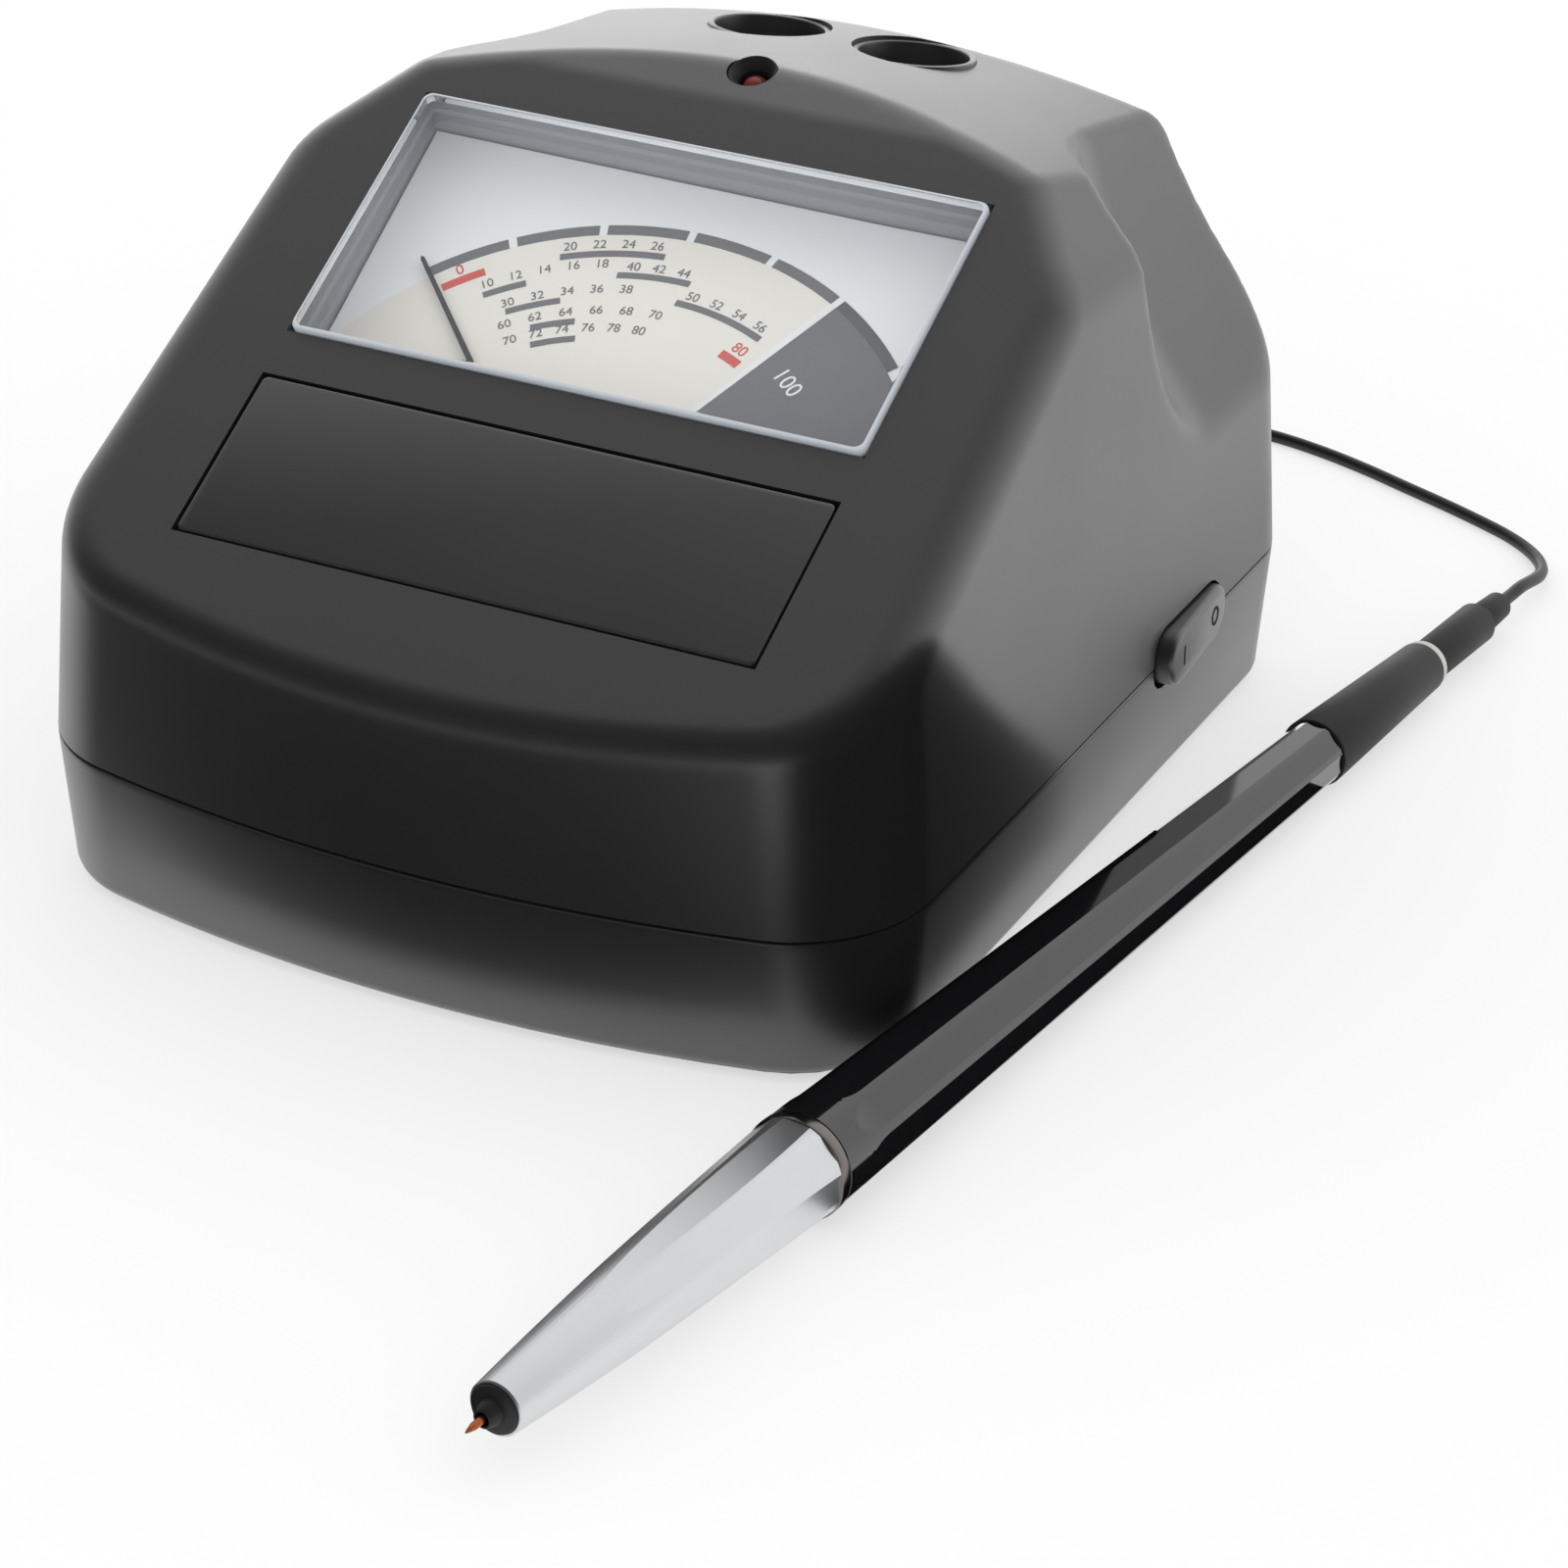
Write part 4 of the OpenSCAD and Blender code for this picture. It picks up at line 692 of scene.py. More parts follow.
# %% A tree for curved bars
def open_tree(name, floats, **others):
    tree = bpy.data.node_groups.new(name, "GeometryNodeTree")
    tree.interface.new_socket("Geometry", in_out="OUTPUT", socket_type="NodeSocketGeometry")
    for socket, kind in [*((f, "Float") for f in floats), *others.items()]:
        tree.interface.new_socket(socket, in_out="INPUT", socket_type="NodeSocket" + kind)
    return tree, add(tree, "NodeGroupInput").outputs


def bar_tree():
    tree, given = open_tree("curved_bars", ("Radius", "Width", "Thickness", "Start", "Sweep", "Step"),
                            Count="Int", Ink="Material")
    strip = add(tree, "GeometryNodeCurveArc", {"Resolution": 24},
                {"Radius": given["Radius"], "Start Angle": given["Start"], "Sweep Angle": given["Sweep"]})
    section = add(tree, "GeometryNodeCurvePrimitiveQuadrilateral", links={"Width": given["Width"],
                                                                          "Height": given["Thickness"]})
    bar = add(tree, "GeometryNodeCurveToMesh", {"Fill Caps": True},
              {"Curve": strip, "Profile Curve": section})
    places = add(tree, "GeometryNodeMeshLine", {"Offset": (0, 0, 0)}, {"Count": given["Count"]})
    number = add(tree, "GeometryNodeInputIndex")
    turn = add(tree, "ShaderNodeMath", links={0: number, 1: given["Step"]}, operation="MULTIPLY")
    spin = add(tree, "ShaderNodeCombineXYZ", links={"Z": turn})
    copies = add(tree, "GeometryNodeInstanceOnPoints",
                 links={"Points": places, "Instance": bar, "Rotation": spin})
    real = add(tree, "GeometryNodeRealizeInstances", links={"Geometry": copies})
    inked = add(tree, "GeometryNodeSetMaterial", links={"Geometry": real, "Material": given["Ink"]})
    add(tree, "NodeGroupOutput", links={"Geometry": inked})
    return tree


def grow(tree, name, place=Matrix.Identity(4), sharp=30, **inputs):
    piece = put(name, bpy.data.meshes.new(name))
    rule = piece.modifiers.new("rule", "NODES")
    rule.node_group = tree
    for item in tree.interface.items_tree:
        if item.in_out == "INPUT" and item.name in inputs:
            rule[item.identifier] = inputs[item.name]
    mesh = baked(piece)
    piece.modifiers.clear()
    piece.data = mesh
    mesh.transform(Matrix.Scale(MM, 4) @ place)
    smooth(mesh, sharp)
    return piece


curved_bars = bar_tree()
PIVOT_UP, DIAL_Z, INK_T, OVERPRINT = 16.6, -9.6, 0.06, 0.03
SCALE_R, SCALE_W, FAN_R, FAN_LOW, FAN_HALF = 38.0, 1.2, 37.4, 24.3, 34
on_dial = on_panel @ shifted(0, PIVOT_UP, DIAL_Z + INK_T / 2 + 0.01)


def bars(name, ink, radius, width, from_up, to_up, count=1, step=0.0, lift=0.0):
    """Angles are from upright, clockwise; the arc node counts from the right, anticlockwise."""
    piece = grow(curved_bars, name, on_dial @ shifted(0, 0, lift), Radius=float(radius),
                 Width=float(width), Thickness=INK_T, Start=math.radians(90 - to_up),
                 Sweep=math.radians(to_up - from_up), Step=math.radians(-step), Count=count, Ink=ink)
    settle(piece, "console", "card")


bars("scale_bars", ink_grey, SCALE_R, SCALE_W, -44.9, -31.6, count=5, step=14.66)
bars("end_bar", ink_dark, SCALE_R, SCALE_W, 28.4, 44.9, lift=OVERPRINT)
rows = [(34.95, -23.2, -4.6), (32.35, -37.7, -29.5), (32.2, -12.2, 2.4), (29.2, -34.2, -22.8),
        (29.6, 1.8, 23.2), (26.2, -29.4, -19.1), (23.9, -29.7, -18.4)]
for number, (radius, a, b) in enumerate(rows):
    bars(f"row_bar_{number}", ink_grey, radius, 0.75, a, b, lift=OVERPRINT)
bars("zero_bar", ink_red, 35.3, 0.9, -44.0, -36.3, lift=OVERPRINT)
bars("set_bar", ink_red, 26.0, 1.0, 18.9, 24.6, lift=OVERPRINT)
print("dial bars:", 4 + len(rows), "pieces from one tree")

# %% [markdown]
# The card under the bars is a thin sheet with a sand-coloured fan below the scale and a grey fan at its
# right end. The fans are flat prints, a few hundredths of a millimetre thick.

# %% Card and fans
card = new_mesh("dial_sheet", *box((-34.2, 20, DIAL_Z - 0.5), (34.2, 60.9, DIAL_Z)), dial_stock, on_panel)
settle(soften(card, 0.12), "console", "card", "dial_card")


def fan(name, ink, inner, from_up, to_up, lift):
    outline = np.vstack([arc((0, 0), FAN_R, 90 - from_up, 90 - to_up, 40),
                         arc((0, 0), inner, 90 - to_up, 90 - from_up, 40)])
    outline[:, 1] = np.maximum(outline[:, 1], FAN_LOW - PIVOT_UP)
    outline[:, 0] = np.clip(outline[:, 0], -FAN_HALF, FAN_HALF)
    under_bars = on_dial @ shifted(0, 0, -INK_T / 2)
    piece = new_mesh(name, *prism(outline, lift, lift + 0.02), ink, under_bars)
    settle(piece, "console", "card")


fan("sand_fan", ink_sand, 10.5, -76, 76, 0.0)
fan("white_gap", ink_white, 9.0, 26.9, 28.3, 0.025)
fan("end_fan", ink_grey, 9.0, 28.3, 62, OVERPRINT)
print("dial card printed")

# %% [markdown]
# ## Plain numbers on the dial
# The inner rows are printed on the real dial. Here each row holds plain numbers, set in Blender's own font,
# turned to follow their arc and made a mesh before they are placed.

# %% Numbers
def printed_numbers(name, ink, marks, height):
    sheet = bmesh.new()
    for text, radius, angle in marks:
        curve = bpy.data.curves.new("digits", "FONT")
        curve.body = text
        curve.size = height
        curve.align_x = "CENTER"
        curve.extrude = 0.01
        digits = put("digits", curve)
        mesh = baked(digits)
        bpy.data.objects.remove(digits)
        turn = rotated("Z", -angle) @ shifted(0, radius, OVERPRINT)
        mesh.transform(Matrix.Scale(MM, 4) @ on_dial @ turn)
        sheet.from_mesh(mesh)
    printed = bpy.data.meshes.new(name)
    sheet.to_mesh(printed)
    sheet.free()
    printed.materials.append(ink)
    settle(put(name, printed), "console", "card")


def number_row(first, count, radius, start, end):
    angles = np.linspace(start, end, count)
    return [(str(first + 2 * k), radius, angle) for k, angle in enumerate(angles)]


number_rows = [(10, 5, 33.2, -36.5, -15.5), (20, 4, 35.7, -21.5, -6.5), (30, 5, 29.9, -33.5, -9.5),
               (40, 3, 32.9, -9.5, 0.2), (50, 4, 30.3, 4.5, 21.0), (60, 6, 27.1, -35.0, -1.0),
               (70, 6, 24.8, -34.5, -3.0)]
grey_numbers = [mark for row in number_rows for mark in number_row(*row)]
printed_numbers("grey_numbers", ink_grey, grey_numbers, 1.5)
printed_numbers("red_numbers", ink_red, [("0", 36.1, -40.2), ("80", 26.9, 21.8)], 1.8)
printed_numbers("white_number", ink_white, [("100", 27.5, 36.5)], 2.6)
print("dial numbers:", len(grey_numbers) + 3)

# %% [markdown]
# ## Pointer and movement
# The pointer is a thin blackened strip with a counterweight. It rides with its coil on the movement, so it
# swings when the meter reads. The hidden movement keeps its frame pieces with their own metals.

# %% Pointer
NEEDLE_Z, STRIP_LOW, STRIP_HIGH = -8.9, 0.02, 0.26
needle_place = on_panel @ shifted(0, PIVOT_UP, NEEDLE_Z) @ rotated("Z", 45)
hub = lathe([(1.2, 0.0), (1.75, 0.02), (1.8, 0.08), (1.8, 0.24), (1.6, 0.3), (1.2, 0.3)], 40)
needle = new_mesh("needle", *join(
    prism([(-0.42, 0), (0.42, 0), (0.24, 39.2), (0, 39.6), (-0.24, 39.2)], STRIP_LOW, STRIP_HIGH),
    prism([(-0.6, 0), (-1.1, -6.6), (-0.9, -7), (0.9, -7), (1.1, -6.6), (0.6, 0)], STRIP_LOW, STRIP_HIGH),
    hub), dark_steel, needle_place)
settle(needle, "movement", "dark_metal", "pointer")
print("needle set at 45 degrees left")

# %% [markdown]
# ## Lamp and test wells
# The ready lamp is a small red lens deep in a black ring. Each well is a black cup with a rolled rim, and a
# test disc lies at its bottom.

# %% Lamp and wells
holder = lathe([(1.6, -5.8), (3.6, -5.8), (3.6, -4.1), (LAMP_R, -4.1), (LAMP_R, -0.35), (2.62, -0.22),
                (2.5, -0.2), (2.35, -0.3), (1.6, -1.4)])
ring = new_mesh("lamp_ring", *holder, black_abs, on_crescent)
settle(ring, "console", "black_matte", "lamp_holder")
LENS_R, LENS_Z = 1.5, -2.7
dome = [(LENS_R * sin(a), LENS_Z + LENS_R * cos(a)) for a in range(2, 91, 8)]
bulb = lathe([(0.02, -6.8), (1.8, -6.8), (1.8, -5.8), (LENS_R, -5.8)] + dome[::-1])
lens = new_mesh("lamp_lens", *bulb, lamp_lens, on_crescent)
settle(lens, "console", "lamp", "ready_lamp")
cup = lathe([(0.05, -8.8), (6.5, -8.8), (WELL_R, -8.5), (WELL_R, -0.4), (6.75, -0.22), (6.6, -0.15),
             (6.25, -0.15), (6.08, -0.25), (6.0, -0.5), (6.0, -8.0), (0.05, -8.0)])
wells = new_mesh("well_cups", *join(*[moved(cup, m) for m in on_wells]), case_abs)
settle(wells, "console", "black_matte", "test_wells")
disc = lathe([(0.05, -7.99), (5.8, -7.99), (5.9, -7.9), (5.9, -6.65), (5.75, -6.5), (0.05, -6.5)])
discs = new_mesh("well_discs", *join(*[moved(disc, m) for m in on_wells]), disc_metal)
settle(discs, "console", "disc", "test_discs")
print("lamp and wells in place")

# %% [markdown]
# ## Rocker switch
# The rocker is a stadium with a soft rim, tilted four degrees to its off side. The I and the O are pad
# printed, so they are a hair thick.

# %% Rocker
tilt = on_rocker @ rotated("Y", 4)
rings = [at_height(stadium(ROCKER_LEN - 2 * i, ROCKER_WIDE - 2 * i), z) for z, i in
         ((2.4, 0), (5.2, 0), (5.5, 0.08), (5.7, 0.28), (5.8, 0.6))]
paddle = join(loft(rings), box((-2.2, -2.4, 0), (2.2, 2.4, 2.5)))
rocker = new_mesh("rocker_paddle", *paddle, case_abs, tilt, sharp=45)
settle(rocker, "switch", "black_matte", "rocker")
circle = arc((5, 0), 1.1, 0, 360 - 15, 23)
hole = arc((5, 0), 0.75, 0, 360 - 15, 23)
INK_LOW, INK_HIGH = 5.78, 5.84
walls = ((circle, INK_LOW), (circle, INK_HIGH), (hole, INK_HIGH), (hole, INK_LOW))
round_mark = loft([at_height(outline, z) for outline, z in walls], joined=True)
bar_mark = box((-5.2, -1.1, INK_LOW), (-4.85, 1.1, INK_HIGH))
marks = new_mesh("rocker_marks", *join(round_mark, bar_mark), ink_mark, tilt)
settle(marks, "switch", "black_matte")
print("rocker tilted to its rest side")

# %% [markdown]
# ## The pen
# The pen lies on its ring and on the front of its sleeve, close beside the case. All its pieces are drawn
# along one axis with the tip down, then laid on the counter by one matrix.

# %% The pen's place
RING_R, SLEEVE_R, BARREL_LEN, BARREL_FLAT, BARREL_REAR = 5.5, 3.9, 101, 5.2, 3.5
YAW, ROLL, CORNER_AT, PEN_GAP = 6.5, 2, 30, 0.5
pitch = math.degrees(math.asin((RING_R - SLEEVE_R) / BARREL_LEN))
reach = CASE_W / 2 - FRONT_CORNER
corner_y = FRONT + BOW - math.sqrt((BOW - FRONT_CORNER) ** 2 - reach ** 2)
side = FRONT_CORNER + BARREL_FLAT + PEN_GAP
pen_x = reach + side * cos(YAW) - CORNER_AT * sin(YAW)
pen_y = corner_y - side * sin(YAW) - CORNER_AT * cos(YAW)
laid = rotated("Z", -YAW) @ rotated("X", -90 - pitch)
on_pen = shifted(pen_x, pen_y, RING_R / cos(pitch) + 0.02) @ laid
on_barrel = on_pen @ rotated("Z", ROLL)
print("pen ring at", [round(v, 1) for v in on_pen.translation])

# %% [markdown]
# ## Barrel and nose: a turned bar with milled flats
# Both are turned round first, and then eight flats are milled along them. So at each height the section
# is a circle cut by an octagon. The rings below put points just where a flat meets the round, so the edges
# stay crisp where the flats run out: in rounded ends behind the ring, and in pointed arches on the nose.

# %% Rings with flats
def flatted(heights, round_radius, flat_distance):
    rings = []
    for z in heights:
        radius, flat = round_radius(z), flat_distance(z)
        half = max(math.acos(min(1.0, flat / radius)), math.radians(0.8))
        ring = []
        for k in range(8):
            middle = k * math.pi / 4
            spread = [*np.linspace(-half, half, 5), *np.linspace(half, math.pi / 4 - half, 7)[1:-1]]
            for turn in spread:
                on_flat = flat / math.cos(turn) if abs(turn) <= half + 1e-9 else radius
                r = min(radius, on_flat)
                ring.append((r * math.cos(middle + turn), r * math.sin(middle + turn), z))
        rings.append(np.array(ring))
    return rings


def scaled(ring, share, z):
    return at_height(ring[:, :2] * share, z)


# %% [markdown]
# The barrel is polished black acrylic. It tapers evenly to the rear and keeps a short round collar in
# front, where the cutter lifted out of the flats.

# %% Barrel
COLLAR_LEN, RUN_OUT, CORNER_R, BORE_R, SPIGOT_R, SPIGOT_LEN = 3.5, 4.0, 5.45, 1.5, 4.05, 6.2
FLATS_FROM = COLLAR_LEN + RUN_OUT


def taper(z):
    return 1 - (1 - BARREL_REAR / BARREL_FLAT) * z / BARREL_LEN


def barrel_flat(z):
    lift = max(0.0, (FLATS_FROM - z) / RUN_OUT)
    return BARREL_FLAT * taper(z) + (CORNER_R - BARREL_FLAT) * lift ** 2


heights = np.concatenate([np.linspace(0.12, COLLAR_LEN - 0.2, 4), np.linspace(COLLAR_LEN, FLATS_FROM, 24),
                          np.linspace(FLATS_FROM, BARREL_LEN, 40)[1:]])
rings = flatted(heights, lambda z: CORNER_R * taper(z), barrel_flat)
steps = ((BORE_R, BARREL_LEN), (BORE_R, SPIGOT_LEN), (SPIGOT_R, SPIGOT_LEN), (SPIGOT_R, 0))
bore = [scaled(rings[0], radius / CORNER_R, z) for radius, z in steps]
rings = [scaled(rings[0], 0.978, 0)] + rings + [scaled(rings[-1], 0.97, BARREL_LEN)] + bore
barrel = new_mesh("barrel_bar", *loft(rings, joined=True), barrel_gloss, on_barrel, sharp=14)
settle(barrel, "pen", "black_gloss", "barrel")
print("barrel:", len(barrel.data.polygons), "faces")

# %% [markdown]
# The nose is chromed brass. Its side swells a little beyond a straight cone, and its flats begin a third of
# the way back from the mouth.

# %% Nose cone
NOSE_BACK, NOSE_LEN, MOUTH_R, NOSE_REAR, SWELL = -1.5, 48.2, 2.8, 5.4, 0.36
NOSE_FRONT, FLAT_FROM, FLAT_DEPTH, HEAD_R = NOSE_BACK - NOSE_LEN, 0.33, 0.2, 2.5


def nose_round(z):
    share = (z - NOSE_FRONT) / NOSE_LEN
    return MOUTH_R + (NOSE_REAR - MOUTH_R) * share + 4 * SWELL * share * (1 - share)


def nose_flat(z):
    share = (z - NOSE_FRONT) / NOSE_LEN
    first = nose_round(NOSE_FRONT + FLAT_FROM * NOSE_LEN)
    rear = NOSE_REAR - FLAT_DEPTH
    return rear - (rear - first) * (1 - share) / (1 - FLAT_FROM)


arch = NOSE_FRONT + FLAT_FROM * NOSE_LEN
heights = np.concatenate([np.linspace(NOSE_FRONT + 0.12, arch, 24), np.linspace(arch, arch + 8, 30)[1:],
                          np.linspace(arch + 8, NOSE_BACK, 30)[1:]])
rings = flatted(heights, nose_round, nose_flat)
SEAT, HEAD_BORE, NOSE_BORE = NOSE_FRONT + 1.5, HEAD_R + 0.05, 2.25
steps = ((NOSE_BORE, NOSE_BACK), (NOSE_BORE, SEAT), (HEAD_BORE, SEAT), (HEAD_BORE, NOSE_FRONT))
bore = [scaled(rings[0], radius / MOUTH_R, z) for radius, z in steps]
rings = [scaled(rings[0], 0.965, NOSE_FRONT)] + rings + bore
nose = new_mesh("nose_turning", *loft(rings, joined=True), chrome, on_barrel, sharp=5)
settle(nose, "pen", "chrome", "nose_cone")
print("nose:", len(nose.data.polygons), "faces")

# %% [markdown]
# ## Ring, sleeve, tail and tip
# The rest of the pen is plain turning: each outline is a few radii at their heights, with the small
# rounding that a lathe tool or a mould leaves on every edge.

# %% Turned pieces of the pen
SLEEVE_END = BARREL_LEN + 25
NECK_AT = SLEEVE_END + 1
COLLAR_AT = NECK_AT + 12.5
TAIL_AT = COLLAR_AT + 5.5


def eased(radius_a, radius_b, start, end, bore, edge=0.15):
    return [(bore, start), (radius_a - edge, start), (radius_a - edge * 0.3, start + edge * 0.3),
            (radius_a, start + edge), (radius_b, end - edge), (radius_b - edge * 0.3, end - edge * 0.3),
            (radius_b - edge, end), (bore, end)]


TIP_FRONT = NOSE_FRONT - 2
bush = [(0.75, TIP_FRONT), (0.9, TIP_FRONT), (1.0, TIP_FRONT + 0.1), (1.4, TIP_FRONT + 1.55),
        (1.6, TIP_FRONT + 1.6), (2.25, TIP_FRONT + 1.6), (2.42, TIP_FRONT + 1.68), (HEAD_R, TIP_FRONT + 1.85),
        (HEAD_R, SEAT), (2.2, SEAT), (2.2, TIP_FRONT + 13), (0.75, TIP_FRONT + 13)]
turned_pieces = [
    ("nose_band", ring_metal, "dark_metal", "nose_ring", eased(RING_R, RING_R, NOSE_BACK, 0, SPIGOT_R, 0.2)),
    ("rear_sleeve", black_abs, "black_matte", "sleeve",
     eased(SLEEVE_R, 2.95, BARREL_LEN, SLEEVE_END, 1.65, 0.2)),
    ("pale_ring", pale_acetal, "pale", "sleeve_ring", eased(2.8, 2.8, SLEEVE_END, NECK_AT, 1.65)),
    ("tail_neck", black_abs, "black_matte", "neck", eased(2.4, 2.4, NECK_AT, COLLAR_AT, 0.8)),
    ("tail_collar", black_abs, "black_matte", "end_collar", eased(1.85, 1.6, COLLAR_AT, TAIL_AT, 0.1)),
    ("tip_bush", black_abs, "black_matte", "tip_insulator", bush),
]
for name, finish, slot, node, outline in turned_pieces:
    settle(new_mesh(name, *lathe(outline), finish, on_pen, sharp=40), "pen", slot, node)
PROBE_END = NOSE_FRONT + 11.2
probe = lathe([(0.02, TIP_FRONT - 2.4), (0.1, TIP_FRONT - 2.38), (0.22, TIP_FRONT - 2),
               (0.4, TIP_FRONT - 1.2), (0.4, TIP_FRONT + 1.6), (0.7, TIP_FRONT + 1.65), (0.7, PROBE_END),
               (0.02, PROBE_END)], 32)
settle(new_mesh("probe_point", *probe, copper, on_pen), "tip", "copper", "probe_tip")
print("pen pieces:", len(turned_pieces) + 3)

# %% [markdown]
# ## The return spring, made by a rule
# Behind the tip a small helix pushes it out. Blender's spiral curve gives the wire's line, and the wire is
# swept round it. The helix is built once, at rest; on the real pen it shortens toward the terminal block as
# the tip is pressed.

# %% Spring tree
tree, given = open_tree("return_spring", ("Turns", "Coil Radius", "Height", "Wire Radius"), Finish="Material")
helix = add(tree, "GeometryNodeCurveSpiral", {"Resolution": 24},
            {"Rotations": given["Turns"], "Start Radius": given["Coil Radius"],
             "End Radius": given["Coil Radius"], "Height": given["Height"]})
wire = add(tree, "GeometryNodeCurvePrimitiveCircle", {"Resolution": 8}, {"Radius": given["Wire Radius"]})
drawn = add(tree, "GeometryNodeCurveToMesh", {"Fill Caps": True}, {"Curve": helix, "Profile Curve": wire})
plated = add(tree, "GeometryNodeSetMaterial", links={"Geometry": drawn, "Material": given["Finish"]})
add(tree, "NodeGroupOutput", links={"Geometry": plated})
SPRING_FRONT, SPRING_BACK, END_ROOM = NOSE_FRONT + 17.2, NOSE_FRONT + 24.7, 0.27
spring = grow(tree, "tip_return_spring", on_pen @ shifted(0, 0, SPRING_FRONT + END_ROOM), Turns=5.0,
              **{"Coil Radius": 1.6, "Height": SPRING_BACK - SPRING_FRONT - 2 * END_ROOM, "Wire Radius": 0.25,
                 "Finish": zinc_steel})
settle(spring, "pen", "steel", "tip_spring")
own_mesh(spring)
print("spring:", len(spring.data.polygons), "faces")

# %% [markdown]
# ## The lead
# The lead is a limp 1.5 mm cable, about 0.78 m long. It leaves the back of the case in a moulded strain
# relief, is wound into a tied coil behind the case, and runs round to the pen's tail. It is one tube along
# one smooth route, the same route as the frame's solids.

# %% The lead's route
COIL_X, COIL_Y = -6.5, 96.5
fall = ((71.5, LEAD_Z), (74.5, 8.8), (78, 7.6), (82, 5.2), (86, 3.2), (90, 2.1), (93.5, 1.65), (COIL_Y, 1.65))
from_case = [(LEAD_X, y, z) for y, z in fall]
to_pen = [(COIL_X, 108, 7.65), (-2.5, 108, 7.5), (2, 108, 6.4), (7, 108, 4.4), (12, 108, 2.4),
          (17, 108.2, 1.2)]
on_counter = ((22, 108.4), (28, 107.8), (34, 106.4), (40, 104.4), (46, 102), (52, 99.6), (57, 97.4),
              (61.4, 95.2))
to_pen += [(x, y, LEAD_R) for x, y in on_counter]
to_pen += [(65, 92.4, 0.9), (67.6, 88.9, 1.3), (68.9, 84.8, 2)]
to_pen += [tuple(on_pen @ Vector((0, 0, TAIL_AT + out))) for out in (6, 3, 0)]


def smooth_route(points, steps):
    p = np.array(points, float)
    p = np.vstack([p[:1], p, p[-1:]])
    route = []
    for a, b, c, d in zip(p, p[1:], p[2:], p[3:]):
        for t in np.arange(steps) / steps:
            route.append(0.5 * (2 * b + (c - a) * t + (2 * a - 5 * b + 4 * c - d) * t ** 2
                                + (3 * b - a - 3 * c + d) * t ** 3))
    return np.vstack([route, p[-1]])


def coil_route(turns=12.25, layers=4, outer=11.5, inner=5.5, rise=2.0, foot=1.65, rings=40):
    u = np.arange(int(turns * rings) + 1) / rings
    layer = turns / layers
    radius = inner + (outer - inner) * np.abs((u / layer) % 2 - 1)
    climb = 0
    for k in (1, 2, 3):
        t = np.clip((u - k * layer) * 2 + 0.5, 0, 1)
        climb = climb + t * t * (3 - 2 * t)
    angle = np.pi - 2 * np.pi * u
    x, y = COIL_X + radius * np.cos(angle), COIL_Y + radius * np.sin(angle)
    return np.column_stack([x, y, foot + rise * climb])


route = np.vstack([smooth_route(from_case, 5)[:-1], coil_route(), smooth_route(to_pen, 5)[1:]])

# %% The lead, its band and its strain relief
def tube(points, radius, sides):
    ahead = np.gradient(points, axis=0)
    ahead /= np.linalg.norm(ahead, axis=1)[:, None]
    across = np.cross(ahead, (0, 0, 1))
    across /= np.linalg.norm(across, axis=1)[:, None]
    up = np.cross(across, ahead)
    turns = np.linspace(0, 2 * math.pi, sides, endpoint=False)
    rings = [p + radius * (np.outer(np.cos(turns), a) + np.outer(np.sin(turns), u))
             for p, a, u in zip(points, across, up)]
    return loft(rings)


lead = new_mesh("pen_lead", *tube(route, LEAD_R, 10), lead_pvc, sharp=60)
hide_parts("lead_from_case", "lead_coil", "lead_to_pen")
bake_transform(lead)
TIE_HALF, TIE_BORE = 4.65, 4.05
outer = rounded_box(TIE_HALF, -TIE_HALF, TIE_HALF, 1.2)
inner = rounded_box(TIE_BORE, -TIE_BORE, TIE_BORE, 0.7)
band_rings = [at_height(outer * 0.985, -2), at_height(outer, -1.8), at_height(outer, 1.8),
              at_height(outer * 0.985, 2), at_height(inner, 2), at_height(inner, -2)]
band_place = frame_at(2, COIL_Y, TIE_HALF, 90)
band = new_mesh("lead_band", *loft(band_rings, joined=True), soft_rubber, band_place, sharp=40)
settle(band, "console", "rubber", "lead_tie")
relief = [(0.1, -5.3), (4, -5.3), (4, -3.6), (RELIEF_R, -3.6), (RELIEF_R, 0.1), (4, 0.1), (4, 1.3),
          (3.7, 1.6), (2.6, 1.6)]
for k in range(6):
    z = 2.2 + k * 1.9
    r = 2.5 - 1.15 * (z - 1.6) / 12.4
    relief += [(r, z), (r - 0.35, z + 0.25), (r - 0.35, z + 0.8), (r - 0.08, z + 1.05)]
relief += [(1.3, 13.7), (1.2, 14.0), (0.1, 14.0)]
ribbed = new_mesh("ribbed_relief", *lathe(relief, 40), soft_rubber, on_relief, sharp=40)
settle(ribbed, "console", "lead", "strain_relief")

# %% [markdown]
# ## Frame pieces that keep their shape
# The board, cells, screws, magnet and other hidden pieces are right as they are. Each gets the finish of
# its real material.

# %% Finishes of the carried-over pieces
kept = {
    "foot_ring": soft_rubber, "case_screws": zinc_steel, "battery_door": case_abs, "door_screw": zinc_steel,
    "batteries": cell_can, "battery_contacts": zinc_steel, "circuit_board": green_board,
    "board_parts": black_abs, "board_screws": zinc_steel, "meter_case": meter_ps, "meter_screws": zinc_steel,
    "ring_magnet": sintered_iron, "iron_core": sintered_iron, "movement_bridge": brass,
    "jewel_bearings": lamp_lens, "hairspring": brass, "moving_coil": copper, "arbor": zinc_steel,
    "switch_body": black_abs, "terminal_block": pale_acetal, "inner_lead": lead_pvc,
    "tip_carriage": pale_acetal,
}
for name, finish in kept.items():
    data = nodes[name].data
    data.materials.clear()
    data.materials.append(finish)
print("carried over:", len(kept), "pieces")

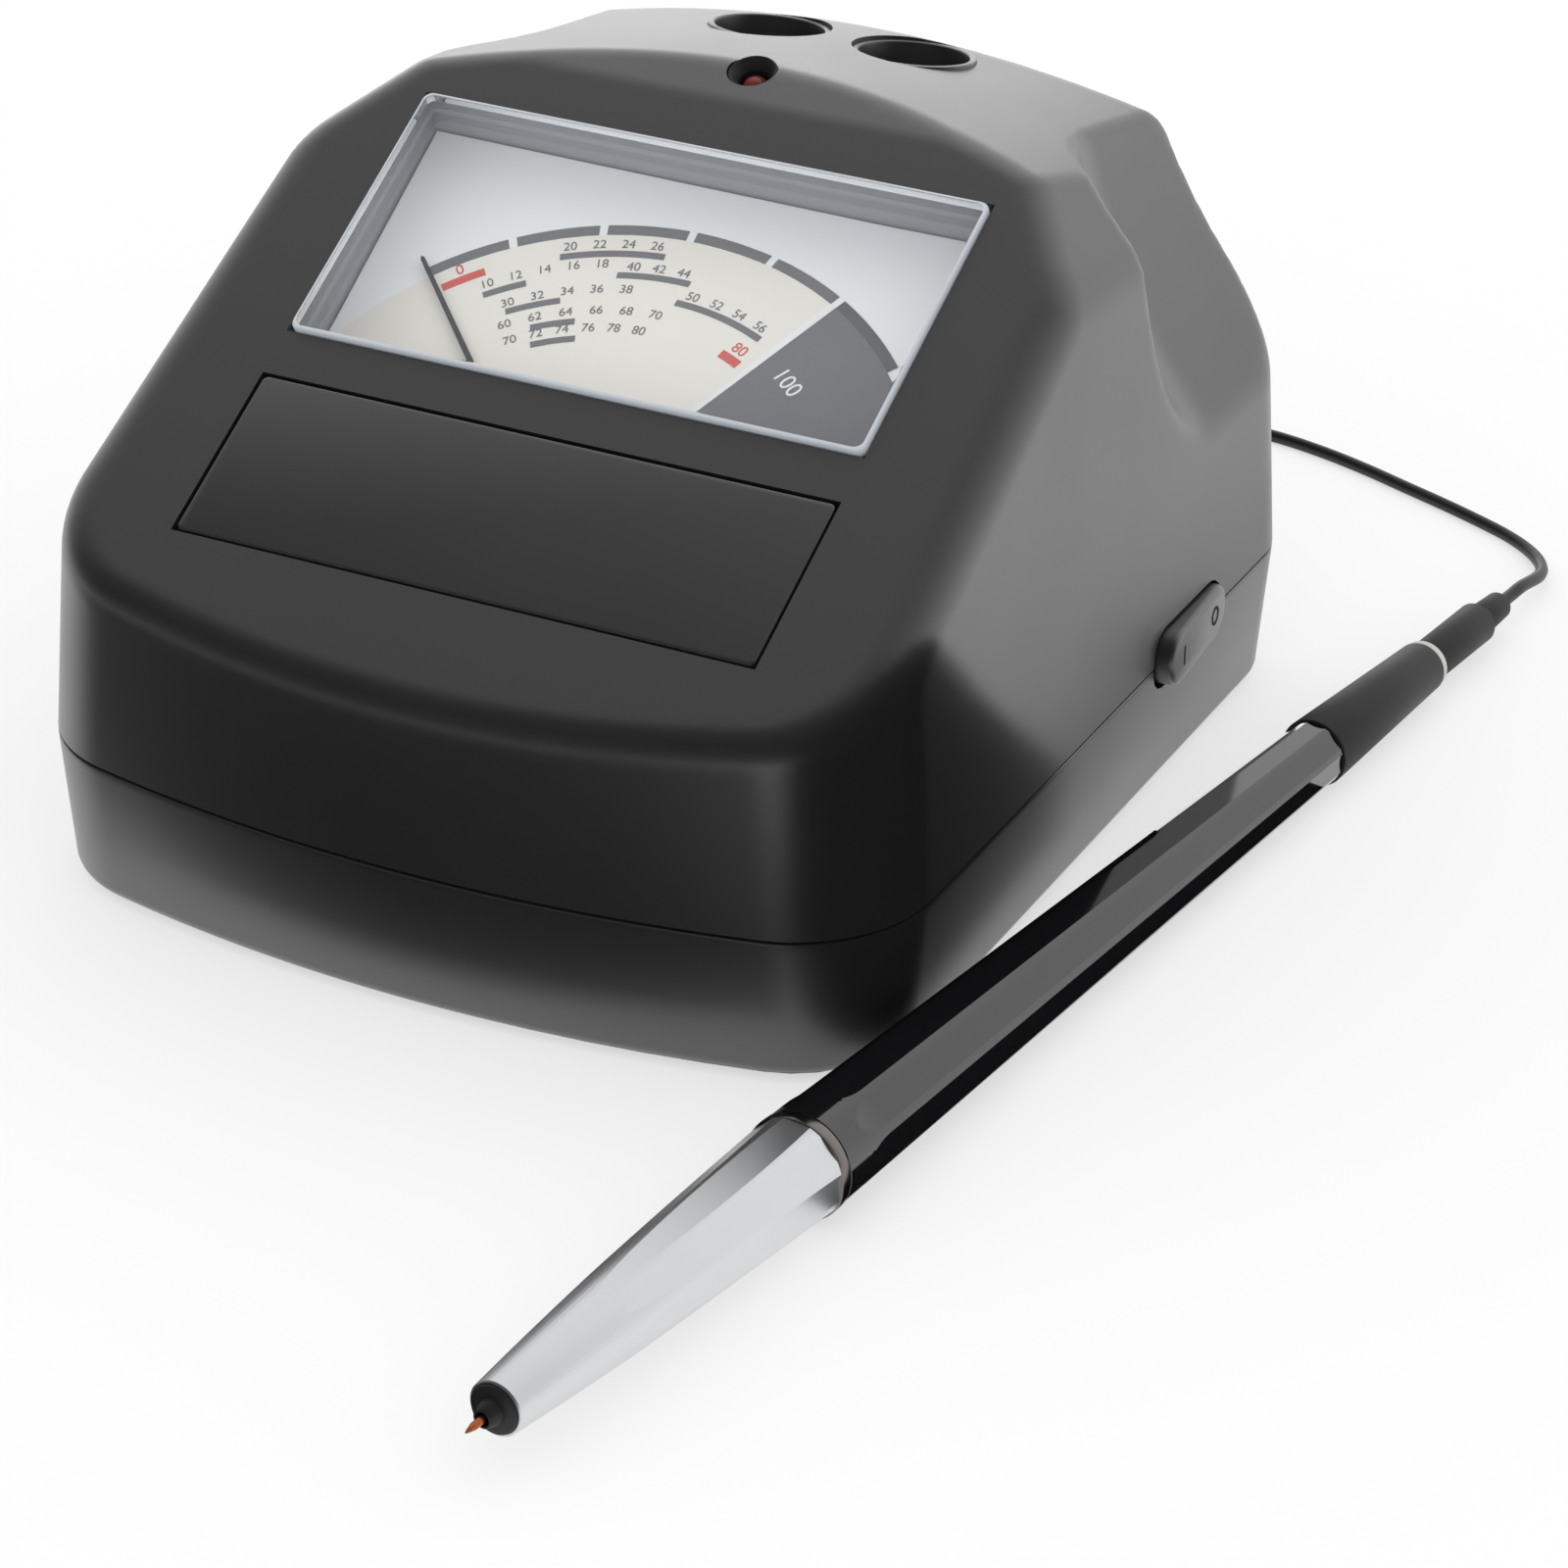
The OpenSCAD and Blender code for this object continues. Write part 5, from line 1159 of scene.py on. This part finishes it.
# %% [markdown]
# ## Floor and light
# The real picture stands on white. The counter is plain and pale and keeps the shadow. A part of its white
# is shown only to the camera, to reflections and through clear pieces, so the counter throws no more light
# on the object. The room is bright behind the case and dim behind the camera, so the side and the crown
# shine, and the front and its soft edges stay black. That is the sky below: in reflections it is bright to
# the rear and dim to the front. Dark cards stand about, as a photographer puts them, and show only in
# reflections: one lies before the case, one lies along the pen's barrel, and one stands on edge between the
# pen and the case, high at the corner and low to the rear.

# %% Counter and dark cards
floor_paint, tree = start_material("matt_white_counter")
path = add(tree, "ShaderNodeLightPath")
seen = path.outputs["Is Camera Ray"]
for ray in ("Is Glossy Ray", "Is Transmission Ray"):
    seen = add(tree, "ShaderNodeMath", links={0: seen, 1: path.outputs[ray]}, operation="MAXIMUM")
share = add(tree, "ShaderNodeMath", {1: 0.6}, {0: seen}, operation="MULTIPLY")
paint = add(tree, "ShaderNodeBsdfDiffuse", {"Color": (0.9, 0.9, 0.9, 1)})
white = add(tree, "ShaderNodeEmission", {"Color": (1, 1, 1, 1), "Strength": 1.0})
skin = add(tree, "ShaderNodeMixShader", links={0: share, 1: paint, 2: white})
end_material(tree, skin)
FLOOR_HALF, CARD_Z, CARD_OUT = 3000, 0.1, -5.6
corners = [(FLOOR_HALF * a, FLOOR_HALF * b, 0) for a, b in ((-1, -1), (1, -1), (1, 1), (-1, 1))]
floor = new_mesh("counter", corners, [(0, 1, 2, 3)], floor_paint, shifted(0, 0, -0.02))
card_felt, tree = start_material("black_felt")
skin = add(tree, "ShaderNodeBsdfDiffuse", {"Color": (0.01, 0.01, 0.01, 1)})
end_material(tree, skin)


def beside_pen(out, along, height):
    spot = on_pen @ Vector((out, 0, along))
    return (spot.x, spot.y, height)


before_case = ((-260, -330), (36, -330), (41, -130), (46, -76), (44, -62), (-260, -62))
along_barrel = ((4, 1), (4, 101), (15, 101), (15, 1))
on_edge = ((4, CARD_Z), (76, CARD_Z), (76, 8), (50, 31), (22, 60), (4, 60))
cards = [[(x, y, CARD_Z) for x, y in before_case],
         [beside_pen(out, along, CARD_Z) for out, along in along_barrel],
         [beside_pen(CARD_OUT, along, height) for along, height in on_edge]]
for number, outline in enumerate(cards):
    flag = new_mesh(f"dark_card_{number}", outline, [tuple(range(len(outline)))], card_felt)
    for kind in ("camera", "diffuse", "transmission", "shadow"):
        setattr(flag, "visible_" + kind, False)
print("counter with", len(cards), "dark cards")

# %% Sky
world = bpy.data.worlds.new("studio")
scene.world = world
world.use_nodes = True
tree = world.node_tree
tree.nodes.clear()
path = add(tree, "ShaderNodeLightPath")
place = add(tree, "ShaderNodeTexCoord")
split = add(tree, "ShaderNodeSeparateXYZ", links={"Vector": place.outputs["Generated"]})
rear = add(tree, "ShaderNodeMapRange", {"From Min": -0.1, "From Max": 0.55, "To Min": 0.05, "To Max": 1.0},
           {"Value": split.outputs["Y"]})
mirrored = add(tree, "ShaderNodeMath", links={0: path.outputs["Is Glossy Ray"],
                                              1: path.outputs["Is Transmission Ray"]},
               operation="SUBTRACT", use_clamp=True)
level = add(tree, "ShaderNodeMix", {"A": 1.12}, {"Factor": mirrored, "B": rear})
sky = add(tree, "ShaderNodeBackground", {"Color": (1, 1, 1, 1)}, {"Strength": level})
add(tree, "ShaderNodeOutputWorld", links={"Surface": sky})
print("sky set, bright to the rear")

# %% [markdown]
# One soft lamp finishes it. It stands low at the left rear and shines along the crown.

# %% Soft lamp
light = bpy.data.lights.new("left_rear_softbox", "AREA")
light.shape = "RECTANGLE"
light.size, light.size_y = 0.9, 0.34
light.energy = 1.4
lamp = put("left_rear_softbox", light)
lamp.location = (-0.75, 1.3, 0.2)
lamp.rotation_mode = "QUATERNION"
lamp.rotation_quaternion = (Vector((0, 0.03, 0.07)) - lamp.location).to_track_quat("-Z", "Y")
print("one soft lamp of", light.energy, "W")
